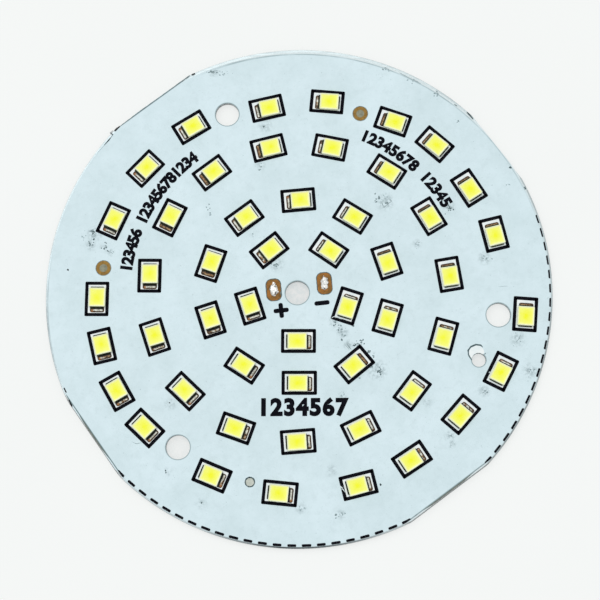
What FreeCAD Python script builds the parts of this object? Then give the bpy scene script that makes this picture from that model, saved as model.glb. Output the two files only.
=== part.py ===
import FreeCAD, Part
import math
import os

# Round aluminium-core LED board, 83 mm across, with fifty 2835 packages in four rings.
# Frame: origin at the middle of the flat back, +Z out of the lit face, millimetres.
# The printed pattern sits a little off the punched outline, as on the real board.

document = FreeCAD.newDocument("RoundLedBoard")
sheet = document.addObject("Spreadsheet::Sheet", "Sizes")

# Driving dimensions, in millimetres and degrees
SIZES = {
    # Punched disc and its laminate
    "outline_radius": 41.5,
    "base_thickness": 0.8,
    "dielectric_thickness": 0.1,
    "copper_thickness": 0.035,
    "mask_thickness": 0.025,
    "ink_thickness": 0.015,
    "bare_rim": 0.35,
    "cut_margin": 1,
    # Four snapped flats, each inside the round outline and leaning out towards the back by its slope
    "flat_one_direction": 36.9,
    "flat_one_inset": 0.6,
    "flat_one_slope": 0.15,
    "flat_two_direction": 126.5,
    "flat_two_inset": 0.6,
    "flat_two_slope": 0.15,
    "flat_three_direction": 215.5,
    "flat_three_inset": 1.04,
    "flat_three_slope": 0.4,
    "flat_four_direction": 306.5,
    "flat_four_inset": 1.28,
    "flat_four_slope": 0.4,
    # Holes
    "middle_hole_radius": 1.95,
    "middle_hole_x": -0.16,
    "screw_hole_radius": 1.95,
    "screw_circle_radius": 32.4,
    "screw_circle_x": 0.4,
    "screw_circle_y": 0.46,
    "screw_first_angle": 112.3,
    "small_hole_radius": 1.12,
    "small_hole_x": 29.2,
    "small_hole_y": -11.25,
    "copper_clearance": 0.7,
    # Printed pattern against the punched outline
    "print_x": 0.08,
    "print_y": 0.38,
    "ring_one_radius": 8.35,
    "ring_one_start": 53.7,
    "ring_two_radius": 15.2,
    "ring_two_start": 18.3,
    "ring_three_radius": 24.7,
    "ring_three_start": 5.8,
    # Printed frame round each package
    "frame_length": 5.7,
    "frame_width": 3.92,
    "frame_line": 0.54,
    # 2835 package: its length is over the leads, which show past the white body
    "package_length": 3.5,
    "package_width": 2.8,
    "package_height": 0.7,
    "package_shift": 0.27,
    "body_length": 3.16,
    "window_length": 2.94,
    "window_width": 2.5,
    "cup_floor_length": 2.5,
    "cup_floor_width": 1.8,
    "lead_thickness": 0.15,
    "lead_width": 2.1,
    "small_lead_length": 0.7,
    "lead_gap": 0.4,
    "chip_length": 1.0,
    "chip_width": 0.7,
    "chip_thickness": 0.12,
    "phosphor_recess": 0.03,
    # Solder and pads
    "solder_reach": 0.5,
    "pad_reach": 0.54,
    "pad_width": 2.2,
    # Wire pads beside the middle hole
    "wire_pad_length": 3.6,
    "wire_pad_width": 2.4,
    "wire_pad_trim": 0.6,
    "wire_pad_margin": 0.15,
    "wire_pad_tilt": 5.0,
    "plus_pad_x": -4.1,
    "plus_pad_y": 0.13,
    "minus_pad_x": 4.2,
    "minus_pad_y": 1.15,
    "wire_solder_length": 2.3,
    "wire_solder_width": 1.2,
    "wire_solder_crown_length": 1.6,
    "wire_solder_crown_width": 0.6,
    "wire_solder_height": 0.25,
    # Polarity marks
    "mark_length": 2.5,
    "mark_line": 0.58,
    "mark_tilt": 6.0,
    "plus_mark_x": -2.87,
    "plus_mark_y": -3.3,
    "minus_mark_x": 3.8,
    "minus_mark_y": -2.1,
    # Alignment targets and the plain test dot
    "target_radius": 1.24,
    "target_eye_radius": 0.66,
    "target_one_x": 10.27,
    "target_one_y": 29.94,
    "target_two_x": -32.22,
    "target_two_y": 4.0,
    "dot_radius": 0.75,
    "dot_margin": 0.25,
    "dot_x": -7.84,
    "dot_y": -31.18,
    # Copper pours: inner and outer radius of each band, and the lines between them
    "band_one_inner": 6.6,
    "band_one_outer": 10.9,
    "band_two_inner": 12.6,
    "band_two_outer": 18.3,
    "band_three_inner": 21.2,
    "band_three_outer": 27.3,
    "band_four_inner": 30.2,
    "band_four_outer": 40.2,
    "string_bus_radius": 19.75,
    "feed_bus_radius": 28.5,
    "bus_width": 1.0,
    "spoke_width": 0.8,
    "copper_slot": 0.4,
    "copper_overlap": 1,
    "spoke_direction": 283.4,
    "spoke_offset": 0.35,
    "outer_slot_direction": 280.2,
    "inner_link_direction": 298.5,
    "string_link_start": 289.4,
    "string_link_end": 277,
    "feed_link_direction": 277.5,
    "minus_track_radius": 7,
    "minus_track_direction": 308,
    "plus_track_radius": 5.5,
    "plus_knee_x": -1.5,
    "plus_knee_y": -4.6,
}

# Turn of each package from the tangent of its ring, counted from the ring's first package
RING_TILTS = {
    "one": (1.5, 2.5, 0, 0, 0),
    "two": (0, 3.5, 4.5, 0, -1, -0.5, 2.5, -0.5, 3, 1),
    "three": (3.5, 1, 3, 0.5, 2, 1, 4, 5.5, 0.5, 4.5, 4.5, 4.5, 2, 5, 2.5),
}

# The outer ring was laid round the screw holes by hand: angle, radius and turn of each package
OUTER_RING = (
    (16, 33.3, -2.5), (31.2, 32.8, 1), (47.4, 33.3, 1), (61.2, 32.5, 9),
    (81.6, 32.4, 3), (99.7, 31.5, 3), (122.8, 33.2, -1.5), (140.8, 33, -4.5),
    (158.7, 33, -3), (182, 33.2, -2.5), (195.6, 33.4, -2), (209.1, 33.8, 0.5),
    (222, 33.5, 4.5), (245.2, 33.2, 2), (264.8, 33.1, -0.5), (286.8, 33.1, -3),
    (303.3, 33, 0), (321.9, 33.1, -3), (337.5, 35.3, -4.5), (353.5, 37, 2),
)

# Copper: the step in each ring after which its band is open, and the corners of a bus in one turn
OPEN_AFTER = (3, 7, 11, 14)
STRING_BUS_CORNERS = 15
FEED_BUS_CORNERS = 20

# Straight sides round a circle: of a small cut in the foil and the mask, and of a hole in the thin layers
SPOT_SIDES = 8
HOLE_SIDES = 12

for index, (angle, radius, tilt) in enumerate(OUTER_RING, 1):
    SIZES[f"outer_{index:02d}_angle"] = angle
    SIZES[f"outer_{index:02d}_radius"] = radius
    SIZES[f"outer_{index:02d}_tilt"] = tilt

for row, (alias, value) in enumerate(SIZES.items(), 1):
    sheet.set(f"A{row}", alias)
    sheet.set(f"B{row}", str(value))
    sheet.setAlias(f"B{row}", alias)
document.recompute()


def size(alias):
    """Value of one cell of the sheet."""
    return float(sheet.get(alias))


# Heights of the layers, as expressions on the sheet
DIELECTRIC_BOTTOM = "Sizes.base_thickness"
COPPER_BOTTOM = f"({DIELECTRIC_BOTTOM} + Sizes.dielectric_thickness)"
PAD_TOP = f"({COPPER_BOTTOM} + Sizes.copper_thickness)"
MASK_TOP = f"({PAD_TOP} + Sizes.mask_thickness)"
LEAD_TOP = f"({PAD_TOP} + Sizes.lead_thickness)"
CHIP_TOP = f"({LEAD_TOP} + Sizes.chip_thickness)"
PACKAGE_TOP = f"({PAD_TOP} + Sizes.package_height)"
INK_TOP = f"({MASK_TOP} + Sizes.ink_thickness)"
OVER = f"({MASK_TOP} + Sizes.cut_margin)"
UNDER = "(-Sizes.cut_margin)"

# Places along a package, from the middle of its printed frame towards the wide pad
PACKAGE_MIDDLE = "-Sizes.package_shift"
PACKAGE_FAR_END = f"({PACKAGE_MIDDLE} + Sizes.package_length / 2)"
PACKAGE_NEAR_END = f"({PACKAGE_MIDDLE} - Sizes.package_length / 2)"
SMALL_LEAD_END = f"({PACKAGE_NEAR_END} + Sizes.small_lead_length)"
BIG_LEAD_START = f"({SMALL_LEAD_END} + Sizes.lead_gap)"


def bind(item, **expressions):
    """Tie properties of a document object to expressions on the sheet."""
    for name, expression in expressions.items():
        item.setExpression(name, expression)
    return item


def place(item, x="0", y="0", z="0", turn="0"):
    """Bind an object's place and its turn about the upright."""
    item.setExpression(
        "Placement",
        f"placement(vector({x}; {y}; {z}); rotation(vector(0; 0; 1); {turn}))",
    )
    return item


def block(name, length, width, bottom, top, middle_x="0", middle_y="0"):
    """Upright block centred on a point."""
    item = document.addObject("Part::Box", name)
    bind(item, Length=length, Width=width, Height=f"{top} - {bottom}")
    return place(item, f"{middle_x} - ({length}) / 2", f"{middle_y} - ({width}) / 2", bottom)


def drum(name, radius, bottom, top, x="0", y="0"):
    """Upright cylinder on a point."""
    item = document.addObject("Part::Cylinder", name)
    bind(item, Radius=radius, Height=f"{top} - {bottom}")
    return place(item, x, y, bottom)


def prism(name, sides, radius, bottom, top, x="0", y="0"):
    """Upright prism whose sides touch a circle."""
    item = document.addObject("Part::Prism", name)
    item.Polygon = sides
    bind(item, Circumradius=f"{radius} / cos(180 deg / {sides})", Height=f"{top} - {bottom}")
    return place(item, x, y, bottom)


def funnel(name, low, high, bottom, top, middle_x="0", turn="0"):
    """Block with sloping sides: low and high give (start, end, width) at its foot and its head."""
    item = document.addObject("Part::Wedge", name)
    bind(item, Ymin="0", Ymax=f"{top} - {bottom}")
    bind(item, Xmin=low[0], Xmax=low[1], Zmin=f"-({low[2]}) / 2", Zmax=f"({low[2]}) / 2")
    bind(item, X2min=high[0], X2max=high[1], Z2min=f"-({high[2]}) / 2", Z2max=f"({high[2]}) / 2")
    upright = f"rotation(vector(0; 0; 1); {turn}) * rotation(vector(1; 0; 0); 90)"
    item.setExpression("Placement", f"placement(vector({middle_x}; 0; {bottom}); {upright})")
    return item


def cut(name, base, tool):
    item = document.addObject("Part::Cut", name)
    item.Base = base
    item.Tool = tool
    return item


def fuse(name, items):
    item = document.addObject("Part::MultiFuse", name)
    item.Shapes = items
    item.Refine = True
    return item


def group(name, items):
    """Separate solids kept together in one object."""
    item = document.addObject("Part::Compound", name)
    item.Links = items
    return item


# Where the fifty packages sit


def ring_sites():
    """Angle, radius and turn of every package, as expressions, ring by ring from the middle out."""
    rings = []
    for ring, tilts in RING_TILTS.items():
        pitch = f"360 / {len(tilts)}"
        rings.append([
            (f"Sizes.ring_{ring}_start + {step} * {pitch}", f"Sizes.ring_{ring}_radius", str(tilt))
            for step, tilt in enumerate(tilts)
        ])
    rings.append([
        tuple(f"Sizes.outer_{step:02d}_{what}" for what in ("angle", "radius", "tilt"))
        for step in range(1, len(OUTER_RING) + 1)
    ])
    return rings


def at_site(name, items, site):
    """Copies of pieces built round the origin, set on one package's place."""
    angle, radius, tilt = site
    item = group(name, items)
    x = f"Sizes.print_x + {radius} * cos(({angle}) * 1 deg)"
    y = f"Sizes.print_y + {radius} * sin(({angle}) * 1 deg)"
    return place(item, x, y, "0", f"{angle} + 90 + {tilt}")


RINGS = ring_sites()
SITES = [site for ring in RINGS for site in ring]


def at_all_sites(name, items):
    """One object that holds a copy of the pieces at each package."""
    copies = [at_site(f"{name}_{index:02d}", items, site) for index, site in enumerate(SITES, 1)]
    return group(name, copies)


def on_print(x, y):
    """Expressions of a point of the printed pattern in the board's frame."""
    return f"Sizes.print_x + ({x})", f"Sizes.print_y + ({y})"


# Outline: four flats where the board was snapped from its panel


def flat_cutter(name):
    """Takes away all beyond one flat, from its lip in the lit face to its foot in the back."""
    edge = f"Sizes.outline_radius - Sizes.flat_{name}_inset"
    far = "Sizes.outline_radius + Sizes.cut_margin"
    lip = (edge, far, "Sizes.outline_radius")
    foot = (f"{edge} + Sizes.flat_{name}_slope", far, "Sizes.outline_radius")
    return funnel(f"flat_{name}", foot, lip, "0", OVER, turn=f"Sizes.flat_{name}_direction")


def hole_places():
    """Name, radius and centre of every through hole, as expressions."""
    places = [("middle", "Sizes.middle_hole_radius", "Sizes.middle_hole_x", "0")]
    for index in range(3):
        angle = f"(Sizes.screw_first_angle + {index} * 120) * 1 deg"
        x = f"Sizes.screw_circle_x + Sizes.screw_circle_radius * cos({angle})"
        y = f"Sizes.screw_circle_y + Sizes.screw_circle_radius * sin({angle})"
        places.append((f"screw_{index + 1}", "Sizes.screw_hole_radius", x, y))
    places.append(("small", "Sizes.small_hole_radius", "Sizes.small_hole_x", "Sizes.small_hole_y"))
    return places


flats = [flat_cutter(name) for name in ("one", "two", "three", "four")]
holes = [drum(f"{name}_hole", radius, UNDER, OVER, x, y) for name, radius, x, y in hole_places()]
layer_holes = [
    prism(f"{name}_layer_hole", HOLE_SIDES, radius, UNDER, OVER, x, y)
    for name, radius, x, y in hole_places()
]
punch = group("punch", flats + holes)
layer_punch = group("layer_punch", flats + layer_holes)


# Base plate, and the layers on it, which stop short of its edge
base_blank = drum("base_blank", "Sizes.outline_radius", "0", DIELECTRIC_BOTTOM)
base_plate = cut("base_plate", base_blank, punch)

LAYER_RADIUS = "(Sizes.outline_radius - Sizes.bare_rim)"
dielectric_blank = drum("dielectric_blank", LAYER_RADIUS, DIELECTRIC_BOTTOM, COPPER_BOTTOM)
dielectric_layer = cut("dielectric_layer", dielectric_blank, layer_punch)


# Copper: two strings of twenty-five packages side by side, one through rings four and one,
# the other through rings three and two


def polar(radius, angle):
    return radius * math.cos(math.radians(angle)), radius * math.sin(math.radians(angle))


def site_numbers(ring, step):
    """Angle, radius and turn of one package in numbers."""
    names = list(RING_TILTS)
    if ring == len(names):
        return tuple(size(f"outer_{step + 1:02d}_{what}") for what in ("angle", "radius", "tilt"))
    tilts = RING_TILTS[names[ring]]
    angle = size(f"ring_{names[ring]}_start") + step * 360 / len(tilts)
    return angle, size(f"ring_{names[ring]}_radius"), tilts[step]


def slot_end(site, along, distance):
    """Point across a package: a place along it, at a distance from the rings' centre."""
    angle, radius, tilt = site
    turn = math.radians(angle + 90 + tilt)
    inward = radius - distance
    x, y = polar(radius, angle)
    x += along * math.cos(turn) - inward * math.sin(turn)
    y += along * math.sin(turn) + inward * math.cos(turn)
    return x, y


def slot_sides():
    """Places along a package where the foil of its narrow lead ends and that of its wide lead starts."""
    narrow = size("small_lead_length") - size("package_shift") - size("package_length") / 2
    return narrow, narrow + size("lead_gap")


def foil(points):
    """Piece of foil from the corners of its outline on the printed pattern."""
    bottom = size("base_thickness") + size("dielectric_thickness")
    shift_x = size("print_x")
    shift_y = size("print_y")
    corners = [FreeCAD.Vector(x + shift_x, y + shift_y, bottom) for x, y in points]
    outline = Part.makePolygon(corners + corners[:1])
    return Part.Face(outline).extrude(FreeCAD.Vector(0, 0, size("copper_thickness")))


def track(start, end, width):
    """Straight foil between two points."""
    length = math.dist(start, end)
    side_x = (start[1] - end[1]) / length * width / 2
    side_y = (end[0] - start[0]) / length * width / 2
    return foil([
        (start[0] + side_x, start[1] + side_y),
        (start[0] - side_x, start[1] - side_y),
        (end[0] - side_x, end[1] - side_y),
        (end[0] + side_x, end[1] + side_y),
    ])


def bus(radius, start, end, corners):
    """Foil round the rings' centre between two angles, in about as many straights as a turn has corners."""
    spans = round((end - start) / 360 * corners)
    angles = [start + (end - start) * step / spans for step in range(spans + 1)]
    half = size("bus_width") / 2
    outer = [polar(radius + half, angle) for angle in angles]
    inner = [polar(radius - half, angle) for angle in reversed(angles)]
    return foil(outer + inner)


def pour(ring, step, inner, outer):
    """Foil from one package's wide pad to the next package's narrow pad."""
    count = len(RINGS[ring])
    first = site_numbers(ring, step)
    second = site_numbers(ring, (step + 1) % count)
    narrow, wide = slot_sides()
    elbow = [], []
    if ring == 0:
        elbow = [polar(outer, first[0] + 180 / count)], [polar(inner, first[0] + 180 / count)]
    return foil(
        [slot_end(first, wide, inner), slot_end(first, wide, outer)] + elbow[0]
        + [slot_end(second, narrow, outer), slot_end(second, narrow, inner)] + elbow[1]
    )


def spoke_point(distance, side):
    """Point of the corridor of the two spokes, from the rings' centre outwards."""
    x, y = polar(distance, size("spoke_direction"))
    side_x, side_y = polar(side + size("spoke_offset"), size("spoke_direction") + 90)
    return x + side_x, y + side_y


def spoke(start, end, side, width):
    return track(spoke_point(start, side), spoke_point(end, side), width)


def spoke_angle(radius, side):
    x, y = spoke_point(radius, side)
    return math.degrees(math.atan2(y, x)) % 360


def link(direction, start, end):
    """Short radial foil that joins a pour to a bus."""
    return track(polar(start, direction), polar(end, direction), size("spoke_width"))


def wire_pad_foil(name):
    """Foil under one wire pad: the bare copper and a margin, with trimmed corners."""
    x = size(f"{name}_pad_x")
    y = size(f"{name}_pad_y")
    length = size("wire_pad_length") / 2 + size("wire_pad_margin")
    width = size("wire_pad_width") / 2 + size("wire_pad_margin")
    trim = size("wire_pad_trim")
    quarter = ((width, length - trim), (width - trim, length))
    corners = [(a, b) for a, b in quarter]
    corners += [(-a, b) for a, b in reversed(quarter)]
    corners += [(-a, -b) for a, b in quarter]
    corners += [(a, -b) for a, b in reversed(quarter)]
    lean = math.radians(size("wire_pad_tilt"))
    return foil([
        (x + a * math.cos(lean) - b * math.sin(lean), y + a * math.sin(lean) + b * math.cos(lean))
        for a, b in corners
    ])


def foil_hole(x, y, radius):
    """Cut through the foil with straight sides round a circle on the printed pattern."""
    reach = radius / math.cos(math.pi / SPOT_SIDES)
    corners = [polar(reach, 360 * step / SPOT_SIDES) for step in range(SPOT_SIDES)]
    return foil([(x + a, y + b) for a, b in corners])


def copper_pieces():
    """Rings of pours, the two buses, the two spokes, their links and the wire pads."""
    slot = size("copper_slot")
    width = size("spoke_width")
    lane = (width + slot) / 2
    edge = lane + width / 2 + slot
    feed_edge = lane - width / 2 - slot
    overlap = size("copper_overlap")
    bands = [(size(f"band_{name}_inner"), size(f"band_{name}_outer"))
             for name in ("one", "two", "three", "four")]
    string_bus = size("string_bus_radius")
    feed_bus = size("feed_bus_radius")
    # Each ring is open at one place. The feed spoke passes the first, both spokes the next two
    reaches = [(inner - overlap, outer + overlap) for inner, outer in bands]
    outer_slot = size("outer_slot_direction")
    openings = (
        spoke(*reaches[0], (feed_edge + edge) / 2, edge - feed_edge),
        spoke(*reaches[1], 0, 2 * edge),
        spoke(*reaches[2], 0, 2 * edge),
        track(polar(feed_bus, outer_slot), polar(reaches[3][1], outer_slot), slot),
    )
    pieces = []
    for ring, (inner, outer) in enumerate(bands):
        for step in range(len(RINGS[ring])):
            piece = pour(ring, step, inner, outer)
            if step == OPEN_AFTER[ring]:
                piece = piece.cut(openings[ring])
            pieces.append(piece)
    pieces.append(spoke(bands[0][1] - overlap, bands[3][0] + slot, -lane, width))
    pieces.append(spoke(size("plus_track_radius"), feed_bus, lane, width))
    string_end = 360 + spoke_angle(string_bus, -edge)
    feed_end = 360 + spoke_angle(feed_bus, -edge)
    pieces.append(bus(string_bus, spoke_angle(string_bus, edge), string_end, STRING_BUS_CORNERS))
    pieces.append(bus(feed_bus, spoke_angle(feed_bus, feed_edge + slot), feed_end, FEED_BUS_CORNERS))
    pieces.append(link(size("inner_link_direction"), bands[0][1] - overlap, bands[1][0] + slot))
    pieces.append(link(size("string_link_start"), string_bus, bands[2][0] + slot))
    pieces.append(link(size("string_link_end"), bands[1][1] - overlap, string_bus))
    pieces.append(link(size("feed_link_direction"), bands[2][1] - overlap, bands[3][0] + slot))
    minus = (size("minus_pad_x"), size("minus_pad_y"))
    plus = (size("plus_pad_x"), size("plus_pad_y"))
    knee = (size("plus_knee_x"), size("plus_knee_y"))
    minus_end = polar(size("minus_track_radius"), size("minus_track_direction"))
    pieces += [wire_pad_foil("minus"), track(minus, minus_end, width)]
    pieces += [wire_pad_foil("plus"), track(plus, knee, width)]
    pieces.append(track(knee, spoke_point(size("plus_track_radius"), lane), width))
    return pieces


def copper_cuts():
    """Clearance round the holes, the eyes of the two targets and the bare dot."""
    cuts = [foil_hole(size("dot_x"), size("dot_y"), size("dot_radius") + size("dot_margin"))]
    for name in ("one", "two"):
        eye = size("target_eye_radius")
        cuts.append(foil_hole(size(f"target_{name}_x"), size(f"target_{name}_y"), eye))
    for hole in holes:
        centre = hole.Placement.Base
        reach = hole.Radius.Value + size("copper_clearance")
        cuts.append(foil_hole(centre.x - size("print_x"), centre.y - size("print_y"), reach))
    return cuts


document.recompute()
copper_foil = document.addObject("Part::Feature", "copper_foil")
copper_parts = copper_pieces()
copper_foil.Shape = copper_parts[0].multiFuse(copper_parts[1:]).removeSplitter().cut(copper_cuts())


# White solder mask: open at the pads, the targets and the dot

window_start = PACKAGE_NEAR_END
window_end = f"({PACKAGE_FAR_END} + Sizes.pad_reach)"
window = block(
    "pad_window", f"{window_end} - {window_start}", "Sizes.pad_width", COPPER_BOTTOM, OVER,
    f"({window_end} + {window_start}) / 2",
)


def wire_pad_window(name):
    """Opening over one wire pad: a rectangle whose corners a turned square trims."""
    length = "Sizes.wire_pad_length"
    width = "Sizes.wire_pad_width"
    side = f"sqrt(2) * (({length} + {width}) / 2 - Sizes.wire_pad_trim)"
    square = block(f"{name}_window_trim", side, side, COPPER_BOTTOM, OVER)
    place(square, f"-({side}) / sqrt(2)", "0", COPPER_BOTTOM, "-45")
    item = document.addObject("Part::Common", f"{name}_window")
    item.Base = block(f"{name}_window_block", width, length, COPPER_BOTTOM, OVER)
    item.Tool = square
    x, y = on_print(f"Sizes.{name}_pad_x", f"Sizes.{name}_pad_y")
    return place(item, x, y, "0", "Sizes.wire_pad_tilt")


def round_window(name, radius):
    x, y = on_print(f"Sizes.{name}_x", f"Sizes.{name}_y")
    return prism(f"{name}_window", SPOT_SIDES, radius, COPPER_BOTTOM, OVER, x, y)


windows = group("windows", [
    at_all_sites("pad_windows", [window]),
    wire_pad_window("plus"),
    wire_pad_window("minus"),
    round_window("target_one", "Sizes.target_radius"),
    round_window("target_two", "Sizes.target_radius"),
    round_window("dot", "Sizes.dot_radius"),
])


def copper_field():
    """Room of the copper under the mask: the outline of the outer pours, as one plate."""
    ring = len(RING_TILTS)
    narrow, wide = slot_sides()
    outline = []
    for step in range(len(OUTER_RING)):
        site = site_numbers(ring, step)
        outline += [slot_end(site, side, size("band_four_outer")) for side in (narrow, wide)]
    return foil(outline)


field = document.addObject("Part::Feature", "copper_field")
field.Shape = copper_field()
mask_blank = drum("mask_blank", LAYER_RADIUS, COPPER_BOTTOM, MASK_TOP)
mask_over_copper = cut("mask_over_copper", mask_blank, field)
mask_with_windows = cut("mask_with_windows", mask_over_copper, windows)
solder_mask = cut("solder_mask", mask_with_windows, layer_punch)


# Black ink: a frame round each package and the two polarity marks

frame_outer = block("frame_outer", "Sizes.frame_length", "Sizes.frame_width", MASK_TOP, INK_TOP)
frame_inner = block(
    "frame_inner", "Sizes.frame_length - 2 * Sizes.frame_line", "Sizes.frame_width - 2 * Sizes.frame_line",
    MASK_TOP, INK_TOP,
)
frame = cut("frame", frame_outer, frame_inner)


def mark(name, bars):
    """Polarity mark from one bar or two crossed ones."""
    pieces = [block(f"{name}_bar_{index}", length, width, MASK_TOP, INK_TOP)
              for index, (length, width) in enumerate(bars)]
    item = fuse(name, pieces) if len(pieces) > 1 else group(name, pieces)
    x, y = on_print(f"Sizes.{name}_x", f"Sizes.{name}_y")
    return place(item, x, y, "0", "Sizes.mark_tilt")


level_bar = ("Sizes.mark_length", "Sizes.mark_line")
upright_bar = ("Sizes.mark_line", "Sizes.mark_length")
silkscreen = group("silkscreen", [
    at_all_sites("frames", [frame]),
    mark("plus_mark", [level_bar, upright_bar]),
    mark("minus_mark", [level_bar]),
])


# 2835 package: two leads, a white cup on them, a chip on the big one and the phosphor over it

small_lead = block(
    "small_lead", "Sizes.small_lead_length", "Sizes.lead_width", PAD_TOP, LEAD_TOP,
    f"({PACKAGE_NEAR_END} + {SMALL_LEAD_END}) / 2",
)
big_lead = block(
    "big_lead", f"{PACKAGE_FAR_END} - {BIG_LEAD_START}", "Sizes.lead_width", PAD_TOP, LEAD_TOP,
    f"({BIG_LEAD_START} + {PACKAGE_FAR_END}) / 2",
)
chip = block("chip", "Sizes.chip_length", "Sizes.chip_width", LEAD_TOP, CHIP_TOP, PACKAGE_MIDDLE)


def centred(length, width):
    """Start, end and width of a rectangle in the middle of the package."""
    return f"-({length}) / 2", f"({length}) / 2", width


cup = funnel(
    "cup", centred("Sizes.cup_floor_length", "Sizes.cup_floor_width"),
    centred("Sizes.window_length", "Sizes.window_width"), LEAD_TOP, PACKAGE_TOP, PACKAGE_MIDDLE,
)
body_block = block(
    "body_block", "Sizes.body_length", "Sizes.package_width", LEAD_TOP, PACKAGE_TOP, PACKAGE_MIDDLE,
)
housing = cut("housing", body_block, cup)

fill_block = block(
    "fill_block", "Sizes.package_length", "Sizes.package_width", CHIP_TOP,
    f"({PACKAGE_TOP} - Sizes.phosphor_recess)", PACKAGE_MIDDLE,
)
phosphor = document.addObject("Part::Common", "phosphor")
phosphor.Base = cup
phosphor.Tool = fill_block

housings = [at_site(f"led_housing_{index:02d}", [housing], site) for index, site in enumerate(SITES, 1)]
led_leads = at_all_sites("led_leads", [small_lead, big_lead])
led_chips = at_all_sites("led_chips", [chip])
led_phosphor = at_all_sites("led_phosphor", [phosphor])


# Solder: a fillet against the end of each wide lead, on the pad that shows past the package

fillet = funnel(
    "fillet", (PACKAGE_FAR_END, f"({PACKAGE_FAR_END} + Sizes.solder_reach)", "Sizes.lead_width"),
    (PACKAGE_FAR_END, PACKAGE_FAR_END, "Sizes.lead_width"), PAD_TOP, LEAD_TOP,
)


def wire_solder(name):
    """Low mound of solder in the middle of one wire pad."""
    mound = funnel(
        f"{name}_solder_mound", centred("Sizes.wire_solder_width", "Sizes.wire_solder_length"),
        centred("Sizes.wire_solder_crown_width", "Sizes.wire_solder_crown_length"),
        PAD_TOP, f"({PAD_TOP} + Sizes.wire_solder_height)",
    )
    x, y = on_print(f"Sizes.{name}_pad_x", f"Sizes.{name}_pad_y")
    return place(group(f"{name}_solder", [mound]), x, y, "0", "Sizes.wire_pad_tilt")


solder_joints = at_all_sites("solder_joints", [fillet])
wire_pad_solder = group("wire_pad_solder", [wire_solder("plus"), wire_solder("minus")])

document.recompute()

NODES = [
    base_plate, dielectric_layer, copper_foil, solder_mask, silkscreen, led_leads, led_chips, led_phosphor,
    solder_joints, wire_pad_solder,
] + housings

for item in document.Objects:
    assert not {"Invalid", "Error"} & set(item.State), f"{item.Name} failed: {item.State}"
for item in NODES:
    assert not item.Shape.isNull() and item.Shape.isValid(), f"{item.Name} has no valid shape"

os.makedirs("parts", exist_ok=True)
for item in NODES:
    item.Label = item.Name
    item.Shape.exportStep(f"parts/{item.Label}.step")
    if not item.Name.startswith("led_housing"):
        print(item.Label, len(item.Shape.Solids), "solids", round(item.Shape.Volume, 3), "mm3")
print(len(NODES), "nodes")
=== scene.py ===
import math
import random

import bmesh
import bpy
from mathutils import Matrix, Vector, noise


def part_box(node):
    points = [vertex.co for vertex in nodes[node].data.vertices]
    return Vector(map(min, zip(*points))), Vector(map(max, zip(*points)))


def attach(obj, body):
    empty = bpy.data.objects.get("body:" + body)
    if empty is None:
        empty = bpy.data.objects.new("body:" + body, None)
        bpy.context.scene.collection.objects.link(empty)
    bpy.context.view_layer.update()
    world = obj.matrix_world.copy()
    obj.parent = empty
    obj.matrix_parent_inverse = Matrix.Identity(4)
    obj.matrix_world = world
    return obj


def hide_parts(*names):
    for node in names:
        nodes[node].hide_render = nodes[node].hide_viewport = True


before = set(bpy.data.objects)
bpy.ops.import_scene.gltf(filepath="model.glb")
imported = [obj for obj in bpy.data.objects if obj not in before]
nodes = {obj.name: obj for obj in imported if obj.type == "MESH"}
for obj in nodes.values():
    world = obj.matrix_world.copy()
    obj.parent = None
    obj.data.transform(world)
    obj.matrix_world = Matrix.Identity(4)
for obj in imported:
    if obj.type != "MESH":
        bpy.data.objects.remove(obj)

# Round LED board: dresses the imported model. Pieces are modelled in millimetres and brought to metres at the
# end. The lit face looks up, and a package's own x axis points at its wide pad.

scene = bpy.context.scene
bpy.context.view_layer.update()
rng = random.Random(83)
noise.seed_set(29)  # otherwise the ragged solder would differ from run to run


def heightOf(node, top=True):
    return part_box(node)[1 if top else 0].z * 1000


# heights of the layers, from the back face up
levels = {
    "plateTop": heightOf("base_plate"),
    "foilBottom": heightOf("copper_foil", False),
    "foilTop": heightOf("copper_foil"),
    "maskTop": heightOf("solder_mask"),
    "inkTop": heightOf("silkscreen"),
    "bodyBottom": heightOf("led_housing_01", False),
    "bodyTop": heightOf("led_housing_01"),
}
inkHeights = (levels["maskTop"], levels["inkTop"])

# shift: from a housing's middle to that of its pads and frame
# turn: how far a package may stand askew, in degrees
package = {"count": 50, "innerRing": 5, "shift": 0.27, "turn": 1.2}


def spotAt(x, y, angle=0):
    # a place on the board, turned by an angle in radians
    return Matrix.Translation((x, y, 0)) @ Matrix.Rotation(angle, 4, "Z")


def outwards(direction):
    # a level direction, from degrees
    return Vector((math.cos(math.radians(direction)), math.sin(math.radians(direction)), 0))


def housingName(number):
    return f"led_housing_{number:02d}"


def housingFrame(number):
    # middle and long direction of one housing, from the corners of its own mesh
    low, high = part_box(housingName(number))
    middle = (low + high) / 2
    vertices = nodes[housingName(number)].data.vertices
    flat = [Vector((v.co.x - middle.x, v.co.y - middle.y)) * 1000 for v in vertices]
    reach = max(v.length for v in flat)
    corners = [v for v in flat if v.length > 0.98 * reach]
    first = corners[0]
    partner = min((v for v in corners if (v - first).length > 0.5), key=lambda v: (v - first).length)
    return middle.to_2d() * 1000, ((first + partner) / 2).normalized()


innerMiddles = [housingFrame(number)[0] for number in range(1, package["innerRing"] + 1)]
ringCentre = sum(innerMiddles, Vector((0, 0))) / package["innerRing"]
sites = []
for number in range(1, package["count"] + 1):
    middle, along = housingFrame(number)
    out = middle - ringCentre
    if Vector((-out.y, out.x)).dot(along) < 0:
        along = -along
    spot = middle + along * package["shift"]
    sites.append(spotAt(spot.x, spot.y, math.atan2(along.y, along.x)))
print("packages found:", len(sites))


def onPrint(x, y, turn=0):
    # place on the printed pattern, whose middle is that of the rings
    return spotAt(ringCentre.x + x, ringCentre.y + y, math.radians(turn))


# helpers for shapes


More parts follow.
